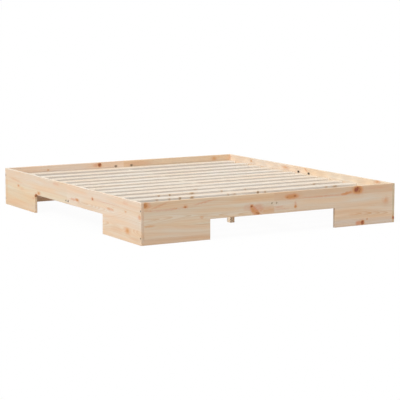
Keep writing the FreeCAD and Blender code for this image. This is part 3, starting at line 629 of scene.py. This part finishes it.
# How the wood grows, in metres: how far the pith may lie from the middle of a board, across it and
# through it, how far it sways along the board, how uneven a ring is, how far the rings bend round a
# knot, how far the outline of a mark strays from an oval, and how wide half a glue line is.
PITH_SPREAD = 0.075
PITH_DEPTH = 0.06
SWAY = 0.045
WOBBLE = 0.0022
KNOT_PUSH = 0.007
MARK_WARP = 0.014
GLUE_LINE = 0.0005

# How fast each pattern changes in a metre, every way alike or along, across and through a board.
SWAY_RATE = 1.6
WARP_RATE = 70.0
HEART_RATE = 42.0
WOBBLE_RATES = (5.0, 60.0, 60.0)
FIBRE_RATES = (14.0, 700.0, 700.0)
CLOUD_RATES = (2.6, 30.0, 30.0)

# Layers of finer noise in the fibres, the tone and the metal.
FINE_DETAIL = 3.0

# How the rings crowd together and spread, and how broad bands of them darken, from year to year.
CROWDING_RATE = 0.35
CROWDING = 2.0
BAND_RATE = 0.22

# How far apart the patterns of two boards, of two glued strips and of the two sways are set.
BOARD_SHIFT = 50.0
RING_JUMP = 7.0
SWAY_JUMPS = ((40.0, 0.0), (60.0, 9.0))

# Where each soft change starts and where it ends. The first five are in radii of the knot, the stain
# or the patch of painted shade round a hole.
KNOT_CORE = (1.4, 0.2)
KNOT_BULGE = (3.0, 0.5)
KNOT_HALO = (2.4, 0.9)
STAIN_EDGE = (1.2, 0.4)
BORE_SHADE_EDGE = (1.1, 0.9)
KNOT_RIM = (0.0, 0.5)
KNOT_HEART = (0.3, 0.8)
HALO_PATCHES = (0.25, 0.7)
HEART_PATCHES = (0.36, 0.6)
SLOW_CHANGE = (0.3, 0.7)
LATE_RISE = (0.25, 0.9)
LATE_FALL = (1.0, 0.93)
FACING = (0.55, 0.9)

# How much each part of the pattern gives to a colour.
LATE_SHARE = 0.62
BAND_SHARE = 0.2
FIBRE_SHARE = 0.12
VIGOUR_SHARE = 0.6
STAIN_SHARE = 0.75
STAIN_LATE_SHARE = 0.3
HALO_SHARE = 0.25
HEART_SHARE = 0.4
HEART_PATCH_SHARE = 0.55
HEART_RING_SHARE = 0.12
GLUE_SHARE = 0.3

# How much each part of the pattern gives to the relief and to the roughness. The mean is taken off
# again, so that the roughness comes out about as it is set.
LATE_HEIGHT = 0.5
FIBRE_HEIGHT = 0.5
KNOT_DIP = 0.6
RELIEF_STRENGTH = 0.5
FIBRE_ROUGHNESS = 0.16
END_ROUGHNESS = 0.12
LATE_GLOSS = 0.08
MEAN_ROUGHNESS = 0.06

# How strongly the surface of the wood bends light.
WOOD_IOR = 1.45

# Turns of light and dark in one radius of a knot, in radians.
KNOT_RINGS = 15.0

# The two tints that the wood drifts between.
PALE_TINT = (0.98, 1.045, 1.11, 1.0)
WARM_TINT = (1.02, 0.955, 0.88, 1.0)

# How deep under the face the painted shade round a hole reaches, in metres.
BORE_SHADE_DEPTH = 0.004

# A board: its axes along, across and through it, then in metres its reach across, the middle of its
# thickness, half its thickness and the middle of its length.
Board = namedtuple("Board", "along across through across_low across_high middle half centre")

# At each point of a board: the plane that its marks lie in, how near a knot is in radii, and how far
# the knot's core, its halo and its bulge show.
KnotFields = namedtuple("KnotFields", "plane near core halo bulge")

# At each point of a board: the late wood of its ring, the band of rings, the fibre and the tone.
Grain = namedtuple("Grain", "late band fibre cloud")


def board_of(node):
    """A solid of the bed as a board: its longest side runs along it, its shortest through it."""
    low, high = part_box(node)
    size = high - low
    along, across, through = sorted(range(3), key=lambda axis: -size[axis])
    middle = (low[through] + high[through]) / 2
    centre = (low[along] + high[along]) / 2
    return Board(along, across, through, low[across], high[across], middle, size[through] / 2, centre)


def mark_fields(shader, plane, marks, edge):
    """How near the closest mark is, in its own radii, and how strongly a mark shows here."""
    near = None
    shown = None
    for mark in marks:
        local = shader.node(
            "Mapping",
            {"vector_type": "TEXTURE"},
            {
                "Vector": plane,
                "Location": (mark.along * MM, mark.across * MM, 0.0),
                "Rotation": (0.0, 0.0, math.radians(mark.turn)),
                "Scale": (mark.long * MM, mark.wide * MM, 1.0),
            },
        )
        distance = shader.node("VectorMath", {"operation": "LENGTH"}, {0: local}, output="Value")
        strength = distance.ease(*edge) * mark.strength
        near = distance if near is None else near.lower(distance)
        shown = strength if shown is None else shown.higher(strength)
    return near, shown


class Wood:
    """Solid wood for one board: rings about its pith, knots, stains, glue lines and end grain."""

    def __init__(self, node, settings, figure, seed):
        self.settings = settings
        self.figure = figure
        self.board = board_of(node)
        self.shader = Shader(bpy.data.materials.new(node.replace("_", " ") + " wood"))
        source = self.shader.node("TexCoord", output="Object")
        place = self.shader.split(source)
        self.along = place[self.board.along]
        self.across = place[self.board.across]
        self.through = place[self.board.through] - self.board.middle
        self.point = self.shader.vector(self.along, self.across, self.through)
        self.normal = self.shader.split(source.sibling("Normal"))
        self.endwise = self.facing(self.board.along)
        self.knots = self.knot_fields()
        self.grain = self.grain_fields(random.Random(seed))

    def facing(self, axis):
        """1 where the surface faces along an axis, either way."""
        return self.normal[axis].math("ABSOLUTE").ease(*FACING)

    def by_strip(self, colours):
        """The colour of the glued strip at each height, or the one colour of a board in one piece."""
        if len(colours) == 1:
            return colours[0]
        foot = self.board.across_low
        height = self.board.across_high - foot
        places = [(strip.foot * MM - foot) / height for strip in self.figure.strips]
        steps = {"stops": list(zip(places, colours))}
        return self.shader.node("ValToRGB", steps, {"Fac": (self.across - foot) / height})

    def knot_fields(self):
        """The knots, in a plane that is pushed about a little so that none is an even oval."""
        shader = self.shader
        rough = shader.noise(self.point, WARP_RATE)
        even = shader.vector(self.along - MARK_WARP / 2, self.across - MARK_WARP / 2, 0.0)
        plane = shader.node(
            "VectorMath",
            {"operation": "MULTIPLY_ADD"},
            {0: rough.sibling("Color"), 1: (MARK_WARP, MARK_WARP, 0.0), 2: even},
        )
        near, core = mark_fields(shader, plane, self.figure.knots, KNOT_CORE)
        halo = near.ease(*KNOT_HALO) * rough.ease(*HALO_PATCHES)
        return KnotFields(plane, near, core, halo, near.ease(*KNOT_BULGE))

    def years(self, chance, shift):
        """Years of growth from the pith to each point. Each glued strip has a pith of its own."""
        shader = self.shader
        middle = (self.board.across_low + self.board.across_high) / 2
        drawn = [(chance.random(), chance.random(), chance.random(), 1.0) for _ in self.figure.strips]
        numbers = self.by_strip(drawn)
        if isinstance(numbers, Value):
            numbers = shader.split(numbers)
        pith_across = (numbers[0] - 0.5) * (2 * PITH_SPREAD) + middle
        pith_through = (numbers[1] - 0.5) * (2 * PITH_DEPTH)
        turn = numbers[2]
        sways = []
        for jump, apart in SWAY_JUMPS:
            swing = shader.wave(self.along * SWAY_RATE + turn * jump + (shift + apart))
            sways.append((swing - 0.5) * SWAY)
        off_across = self.across - pith_across - sways[0]
        off_through = self.through - pith_through - sways[1]
        radius = (off_across * off_across + off_through * off_through).math("SQRT")
        wobble = (shader.noise(shader.scaled(self.point, WOBBLE_RATES), 1.0) - 0.5) * WOBBLE
        pushed = radius + wobble + self.knots.bulge * KNOT_PUSH
        years = pushed / self.settings.ring_spacing + turn * RING_JUMP
        return years + shader.wave(years * CROWDING_RATE, 1.0) * CROWDING

    def grain_fields(self, chance):
        """The late wood of the rings, broad bands of them, fine fibres and a slow drift of tone."""
        shader = self.shader
        shift = chance.uniform(0.0, BOARD_SHIFT)
        years = self.years(chance, shift)
        part = years.math("FRACT")
        vigour = shader.node("TexWhiteNoise", {"noise_dimensions": "1D"}, {"W": years.math("FLOOR")})
        line = part.ease(*LATE_RISE) * part.ease(*LATE_FALL)
        late = line * (vigour * VIGOUR_SHARE + (1.0 - VIGOUR_SHARE))
        band = shader.wave(years * BAND_RATE + shift, 1.0).ease(*SLOW_CHANGE)
        fibre = shader.noise(shader.scaled(self.point, FIBRE_RATES), 1.0, FINE_DETAIL)
        cloud = shader.noise(shader.scaled(self.point, CLOUD_RATES), 1.0, FINE_DETAIL)
        return Grain(late, band, fibre, cloud.ease(*SLOW_CHANGE))

    def clear_colour(self):
        """Wood without marks: its early and late wood, its drift of tone, the tints of its strips, and
        the tints of its ends and narrow faces, which are painted light and shade on some boards.
        """
        shader = self.shader
        figure = self.figure
        grain = self.grain
        depth = grain.late * LATE_SHARE + grain.band * BAND_SHARE + grain.fibre * FIBRE_SHARE
        colour = shader.mix(depth, self.settings.earlywood, self.settings.latewood)
        colour = shader.tint(colour, shader.mix(grain.cloud, PALE_TINT, WARM_TINT))
        colour = shader.tint(colour, self.by_strip([(*strip.tint, 1.0) for strip in figure.strips]))
        # Painted light and shade on the end grain of some panels.
        if figure.ends != PLAIN:
            colour = shader.tint(colour, shader.mix(self.endwise, (*PLAIN, 1.0), (*figure.ends, 1.0)))
        # Narrow faces mixed towards another colour: painted light on the slats and the beam, painted
        # shade on the legs.
        if figure.edges:
            painted_edge_colour, share = figure.edges
            colour = shader.mix(self.facing(self.board.across) * share, colour, painted_edge_colour)
        return colour

    def stained(self, colour):
        """Ochre patches and resin streaks, deepest in the late wood."""
        figure = self.figure
        kinds = ((figure.stains, self.settings.halo), (figure.streaks, self.settings.streak))
        for marks, stain_colour in kinds:
            if marks:
                _, shown = mark_fields(self.shader, self.knots.plane, marks, STAIN_EDGE)
                depth = self.grain.late * STAIN_LATE_SHARE + STAIN_SHARE
                colour = self.shader.mix(shown * depth, colour, stain_colour)
        return colour

    def knotted(self, colour):
        """Warm wood round the knots, and their dark, ringed hearts."""
        shader = self.shader
        knots = self.knots
        colour = shader.mix(knots.halo * HALO_SHARE, colour, self.settings.halo)
        colour = shader.mix(knots.core.ease(*KNOT_RIM), colour, self.settings.halo)
        patches = shader.noise(self.point, HEART_RATE).ease(*HEART_PATCHES)
        rings = (knots.near * KNOT_RINGS).math("SINE")
        heart = patches * HEART_PATCH_SHARE + HEART_SHARE + rings * HEART_RING_SHARE
        return shader.mix(knots.core.ease(*KNOT_HEART) * heart, colour, self.settings.knot)

    def glued(self, colour):
        """A thin line where each strip is glued to the one below it."""
        for strip in self.figure.strips[1:]:
            line = (self.across - strip.foot * MM).math("ABSOLUTE").ease(GLUE_LINE, 0.0)
            colour = self.shader.mix(line * GLUE_SHARE, colour, self.settings.streak)
        return colour

    def shade_in_bores(self, colour):
        """Painted shade in and round the holes of the cams and the joint bolts, on the face each one
        opens on.
        """
        for bore in self.figure.bores:
            offset = math.copysign(bore.offset, self.board.centre)
            shade_patch = Mark(offset, bore.height, bore.half_length, bore.half_width, 0.0, bore.share)
            _, shown = mark_fields(self.shader, self.point, (shade_patch,), BORE_SHADE_EDGE)
            side = math.copysign(1.0, self.board.middle)
            if not bore.outside:
                side = -side
            inset = self.board.half - self.through * side
            shown = shown * inset.math("LESS_THAN", BORE_SHADE_DEPTH)
            colour = self.shader.mix(shown, colour, self.settings.bore)
        return colour

    def material(self):
        """The finished wood, with the relief and the gloss of its grain."""
        grain = self.grain
        colour = self.shade_in_bores(self.glued(self.knotted(self.stained(self.clear_colour()))))
        height = grain.late * LATE_HEIGHT + grain.fibre * FIBRE_HEIGHT - self.knots.core * KNOT_DIP
        relief = {"Strength": RELIEF_STRENGTH, "Distance": self.settings.relief, "Height": height}
        varied = grain.fibre * FIBRE_ROUGHNESS + self.endwise * END_ROUGHNESS - grain.late * LATE_GLOSS
        finish = self.shader.node(
            "BsdfPrincipled",
            inputs={
                "Base Color": colour,
                "Roughness": varied + (self.settings.roughness - MEAN_ROUGHNESS),
                "Normal": self.shader.node("Bump", inputs=relief),
                "IOR": WOOD_IOR,
            },
        )
        return self.shader.surface(finish)


# Small knots strewn over a plain board: how many, their half widths in mm on battens and on slats, how
# long they are for their width, their turn in degrees either way, and how strong they show.
SMALL_KNOTS = 3
BATTEN_KNOTS = (3.0, 7.0)
SLAT_KNOTS = (2.5, 6.0)
KNOT_LENGTHS = (1.0, 1.6)
KNOT_TURN = 15.0
KNOT_STRENGTHS = (0.35, 0.8)


def strewn_knots(node, sizes):
    """Small knots strewn over a plain board, in the board's own plane."""
    chance = random.Random(node)
    board = board_of(node)
    low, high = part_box(node)
    marks = []
    for _ in range(SMALL_KNOTS):
        size = chance.uniform(*sizes)
        marks.append(
            Mark(
                chance.uniform(low[board.along], high[board.along]) / MM,
                chance.uniform(board.across_low, board.across_high) / MM,
                size * chance.uniform(*KNOT_LENGTHS),
                size,
                chance.uniform(-KNOT_TURN, KNOT_TURN),
                chance.uniform(*KNOT_STRENGTHS),
            )
        )
    return marks


# How far in from the outside of the bed the bolts and cams of the long sides reach, in metres. The metal
# there is painted darker, as painted shade.
LONG_SIDE_DEPTH = 0.12

# Metal: how fast its mottle and its pits change in a metre, where the mottle starts and ends, how deep
# the pits are, and how rough the metal is.
MOTTLE_RATE = 420.0
MOTTLE_EDGE = (0.35, 0.7)
MOTTLE_ROUGHNESS = 0.2
PIT_RATE = 2600.0
PIT_DEPTH = 0.05 * MM
PIT_STRENGTH = 0.25
PLATED_ROUGHNESS = 0.38
CAST_ROUGHNESS = 0.55


def metal_material(name, colour, stain, roughness, long_side_shade=None):
    """Mottled, finely pitted metal, which may be painted darker in the long sides of the bed, as painted
    shade.
    """
    shader = Shader(bpy.data.materials.new(name))
    point = shader.node("TexCoord", output="Object")
    mottle = shader.noise(point, MOTTLE_RATE, FINE_DETAIL).ease(*MOTTLE_EDGE)
    skin = shader.mix(mottle, colour, stain)
    # Painted shade: a darker colour on the pieces in the long sides of the bed.
    if long_side_shade:
        outward = shader.split(point)[0].math("ABSOLUTE") - (CAD_BOX[1].x - LONG_SIDE_DEPTH)
        skin = shader.mix(outward.math("GREATER_THAN", 0.0), skin, long_side_shade)
    pits = {"Strength": PIT_STRENGTH, "Distance": PIT_DEPTH, "Height": shader.noise(point, PIT_RATE)}
    finish = shader.node(
        "BsdfPrincipled",
        inputs={
            "Base Color": skin,
            "Metallic": 1.0,
            "Roughness": mottle * MOTTLE_ROUGHNESS + roughness,
            "Normal": shader.node("Bump", inputs=pits),
        },
    )
    return shader.surface(finish)


# Beech: how fast its flecks and its tone change in a metre, where a fleck starts and ends, how much each
# gives to the colour, how deep the flecks are, and how rough the wood is.
FLECK_RATES = (300.0, 300.0, 900.0)
FLECK_EDGE = (0.55, 0.72)
FLECK_SHARE = 0.6
FLECK_DEPTH = 0.1 * MM
FLECK_STRENGTH = 0.3
BEECH_TONE_RATE = 60.0
BEECH_TONE_SHARE = 0.2
BEECH_ROUGHNESS = 0.45


def beech_material(settings):
    """Turned beech with short flecks."""
    shader = Shader(bpy.data.materials.new("dowel beech"))
    point = shader.node("TexCoord", output="Object")
    fleck = shader.noise(shader.scaled(point, FLECK_RATES), 1.0).ease(*FLECK_EDGE)
    tone = shader.noise(point, BEECH_TONE_RATE) * BEECH_TONE_SHARE
    relief = {"Strength": FLECK_STRENGTH, "Distance": FLECK_DEPTH, "Height": fleck}
    finish = shader.node(
        "BsdfPrincipled",
        inputs={
            "Base Color": shader.mix(fleck * FLECK_SHARE + tone, settings.beech, settings.beech_fleck),
            "Roughness": tone + BEECH_ROUGHNESS,
            "Normal": shader.node("Bump", inputs=relief),
        },
    )
    return shader.surface(finish)


def dress(node, material):
    """Gives a solid of the bed its material, in every slot it has."""
    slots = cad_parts[node].material_slots
    if not slots:
        raise RuntimeError(f"{node} has no material slot")
    for slot in slots:
        slot.material = material


def dress_panels(panels, settings, bores):
    """Each half panel is glued up from strips of its own, with painted shade round the holes beside its
    middle joint.
    """
    for number, panel in enumerate(panels):
        figure = Figure(
            STRIPS[panel],
            KNOTS[panel],
            STREAKS[panel],
            STAINS.get(panel, ()),
            END_LIGHT_AND_SHADE.get(panel, PLAIN),
            bores=bores,
        )
        dress(panel, Wood(panel, settings, figure, f"{panel} {number}").material())


def dress_battens(battens, settings, tint=PLAIN, edges=None):
    """Each batten is one piece of wood with a few small knots."""
    for batten in battens:
        figure = Figure((Strip(0, tint),), strewn_knots(batten, BATTEN_KNOTS), edges=edges)
        dress(batten, Wood(batten, settings, figure, batten).material())


class FLOORBED_OT_side_panels(bpy.types.Operator):
    """Finish the four half panels of the long sides"""

    bl_idname = "floor_bed.side_panels"
    bl_label = "Side panels"

    def execute(self, context):
        dress_panels(SIDE_PANELS, context.scene.floor_bed_pine, SIDE_BORE_SHADES)
        return {"FINISHED"}


class FLOORBED_OT_end_panels(bpy.types.Operator):
    """Finish the four half panels of the short sides"""

    bl_idname = "floor_bed.end_panels"
    bl_label = "End panels"

    def execute(self, context):
        dress_panels(END_PANELS, context.scene.floor_bed_pine, END_BORE_SHADES)
        return {"FINISHED"}


class FLOORBED_OT_slats(bpy.types.Operator):
    """Finish the slats, with dark knots on the front edges of some"""

    bl_idname = "floor_bed.slats"
    bl_label = "Slats"

    def execute(self, context):
        settings = context.scene.floor_bed_slats
        for slat in SLATS:
            front = board_of(slat).across_low / MM
            knots = strewn_knots(slat, SLAT_KNOTS)
            for along, half_length, strength in SLAT_EDGE_KNOTS.get(slat, ()):
                knots.append(Mark(along, front, half_length, EDGE_KNOT_DEPTH, 0.0, strength))
            # Painted light on the narrow faces of the slats.
            figure = Figure((Strip(0, PLAIN),), knots, edges=(settings.edge, SLAT_EDGE_LIGHT_SHARE))
            dress(slat, Wood(slat, settings, figure, slat).material())
        return {"FINISHED"}


class FLOORBED_OT_rails(bpy.types.Operator):
    """Finish the ledgers, the splice blocks and the hangers"""

    bl_idname = "floor_bed.rails"
    bl_label = "Ledgers and blocks"

    def execute(self, context):
        dress_battens(RAILS, context.scene.floor_bed_pine)
        return {"FINISHED"}


class FLOORBED_OT_centre_beam(bpy.types.Operator):
    """Finish the centre beam, its splice plate and its legs"""

    bl_idname = "floor_bed.centre_beam"
    bl_label = "Centre beam and legs"

    def execute(self, context):
        settings = context.scene.floor_bed_slats
        # Painted light on the narrow faces of the beam; the legs are made paler, as painted light, with
        # painted shade on their narrow faces.
        dress_battens(CENTRE_BEAM, settings, edges=(settings.edge, SLAT_EDGE_LIGHT_SHARE))
        dress_battens(LEGS, settings, LEG_LIGHT_TINT, (settings.streak, LEG_EDGE_SHADE_SHARE))
        return {"FINISHED"}


class FLOORBED_OT_fittings(bpy.types.Operator):
    """Finish the dowels, the cams, and the bolts, nuts and screws"""

    bl_idname = "floor_bed.fittings"
    bl_label = "Dowels, cams and bolts"

    def execute(self, context):
        settings = context.scene.floor_bed_fittings
        plated = (settings.zinc, settings.zinc_stain, PLATED_ROUGHNESS)
        cast = (settings.cam, settings.cam_stain, CAST_ROUGHNESS)
        finishes = (
            (DOWELS, beech_material(settings)),
            (ZINC_PIECES, metal_material("zinc steel", *plated)),
            (CORNER_BOLTS, metal_material("corner bolt steel", *plated, settings.corner_bolt_shade)),
            (JOINT_BOLTS, metal_material("joint bolt steel", *plated, settings.joint_bolt_shade)),
            (CAMS, metal_material("cam zinc", *cast, settings.cam_shade)),
        )
        for names, material in finishes:
            for name in names:
                dress(name, material)
        return {"FINISHED"}


WHITE = (1.0, 1.0, 1.0, 1.0)

# The floor: half its width, and how far it lies under the feet, in metres.
FLOOR_HALF_WIDTH = 150.0
FLOOR_GAP = 0.2 * MM

# Where the two soft lights stand, seen from the bed, in metres, and how wide they are.
SIDE_LIGHT_FROM = (-3.76, -0.35, 3.52)
SIDE_LIGHT_SPREAD = math.radians(22)
FRONT_LIGHT_FROM = (-1.5, -2.5, 1.6)
FRONT_LIGHT_SPREAD = math.radians(90)

# The camera: the width of its sensor in mm, and how far it sees, in metres.
SENSOR_WIDTH = 36.0
SIGHT = 1000.0


def seen_rays(shader):
    """1 for the rays that see the background: from the camera, off gloss and through glass."""
    path = shader.node("LightPath", output="Is Camera Ray")
    seen = path + path.sibling("Is Glossy Ray") + path.sibling("Is Transmission Ray")
    return seen.lower(1.0)


def floor_material(settings):
    """White floor that still takes the bed's shadow, and is open from below."""
    shader = Shader(bpy.data.materials.new("pale floor"))
    matt = shader.node("BsdfDiffuse", inputs={"Color": settings.floor})
    white = shader.node("Emission", inputs={"Color": WHITE, "Strength": 1.0})
    shown = shader.node("MixShader", inputs={0: 1.0 - settings.shadow, 1: matt, 2: white})
    dim = shader.node("BsdfDiffuse", inputs={"Color": settings.bounce})
    lit = shader.node("MixShader", inputs={0: seen_rays(shader), 1: dim, 2: shown})
    back = shader.node("NewGeometry", output="Backfacing")
    clear = shader.node("BsdfTransparent")
    return shader.surface(shader.node("MixShader", inputs={0: back, 1: lit, 2: clear}))


def make_floor(settings):
    """A wide floor just under the feet."""
    mesh = bpy.data.meshes.new("floor")
    plan = bmesh.new()
    bmesh.ops.create_grid(plan, x_segments=1, y_segments=1, size=FLOOR_HALF_WIDTH)
    bmesh.ops.translate(plan, verts=plan.verts, vec=(0.0, 0.0, CAD_BOX[0].z - FLOOR_GAP))
    plan.to_mesh(mesh)
    plan.free()
    floor = bpy.data.objects.new("floor", mesh)
    bpy.context.scene.collection.objects.link(floor)
    mesh.materials.append(floor_material(settings))


def light_world(settings):
    """White behind the bed, and an even soft light on it."""
    world = bpy.data.worlds.new("white studio")
    bpy.context.scene.world = world
    shader = Shader(world)
    soft = shader.node("Background", inputs={"Color": WHITE, "Strength": settings.ambient})
    white = shader.node("Background", inputs={"Color": WHITE, "Strength": 1.0})
    both = shader.node("MixShader", inputs={0: seen_rays(shader), 1: soft, 2: white})
    shader.node("OutputWorld", inputs={"Surface": both})


def add_soft_light(name, source, spread, strength):
    """A wide, far light that comes from the direction of source."""
    lamp = bpy.data.lights.new(name, "SUN")
    lamp.angle = spread
    lamp.energy = strength
    light = bpy.data.objects.new(name, lamp)
    light.location = source
    light.rotation_euler = (-Vector(source)).to_track_quat("-Z", "Y").to_euler()
    bpy.context.scene.collection.objects.link(light)


def add_camera(settings):
    """The photograph's camera."""
    lens = bpy.data.cameras.new("photo camera")
    lens.lens = settings.lens
    lens.sensor_width = SENSOR_WIDTH
    lens.clip_end = SIGHT
    camera = bpy.data.objects.new("photo camera", lens)
    level = math.cos(settings.elevation)
    back = Vector(
        (
            math.sin(settings.azimuth) * level,
            -math.cos(settings.azimuth) * level,
            math.sin(settings.elevation),
        )
    )
    camera.location = Vector(settings.aim) + back * settings.distance
    camera.rotation_euler = (-back).to_track_quat("-Z", "Y").to_euler()
    bpy.context.scene.collection.objects.link(camera)
    bpy.context.scene.camera = camera


class FLOORBED_OT_stage(bpy.types.Operator):
    """Add the floor, the light and the camera"""

    bl_idname = "floor_bed.stage"
    bl_label = "Stage"

    def execute(self, context):
        settings = context.scene.floor_bed_stage
        context.scene.view_settings.view_transform = "Standard"
        make_floor(settings)
        light_world(settings)
        add_soft_light("side light", SIDE_LIGHT_FROM, SIDE_LIGHT_SPREAD, settings.side_light)
        add_soft_light("front light", FRONT_LIGHT_FROM, FRONT_LIGHT_SPREAD, settings.front_light)
        add_camera(settings)
        return {"FINISHED"}


PIECE_OPERATORS = (
    FLOORBED_OT_side_panels,
    FLOORBED_OT_end_panels,
    FLOORBED_OT_slats,
    FLOORBED_OT_rails,
    FLOORBED_OT_centre_beam,
    FLOORBED_OT_fittings,
    FLOORBED_OT_stage,
)

SETTINGS = {
    "floor_bed_pine": PineSettings,
    "floor_bed_slats": SlatSettings,
    "floor_bed_fittings": FittingSettings,
    "floor_bed_stage": StageSettings,
}


class FLOORBED_PT_finish(bpy.types.Panel):
    """Lists the steps of the finish and what can be changed in it"""

    bl_idname = "FLOORBED_PT_finish"
    bl_label = "Floor bed finish"
    bl_space_type = "VIEW_3D"
    bl_region_type = "UI"
    bl_category = "Floor bed"

    def draw(self, context):
        for operator in PIECE_OPERATORS:
            self.layout.operator(operator.bl_idname)
        for name, group in SETTINGS.items():
            box = self.layout.box()
            box.label(text=group.__doc__)
            for value in group.__annotations__:
                box.prop(getattr(context.scene, name), value)


CLASSES = (*SETTINGS.values(), *PIECE_OPERATORS, FLOORBED_PT_finish)


def register():
    """Adds the settings, the operators and the panel."""
    for each in CLASSES:
        bpy.utils.register_class(each)
    for name, group in SETTINGS.items():
        setattr(bpy.types.Scene, name, bpy.props.PointerProperty(type=group))


def unregister():
    """Takes them away again."""
    for name in SETTINGS:
        delattr(bpy.types.Scene, name)
    for each in reversed(CLASSES):
        bpy.utils.unregister_class(each)


def main():
    """Finishes the bed, one group of pieces after another."""
    register()
    bpy.ops.floor_bed.side_panels()
    bpy.ops.floor_bed.end_panels()
    bpy.ops.floor_bed.slats()
    bpy.ops.floor_bed.rails()
    bpy.ops.floor_bed.centre_beam()
    bpy.ops.floor_bed.fittings()
    bpy.ops.floor_bed.stage()


if __name__ == "__main__":
    main()
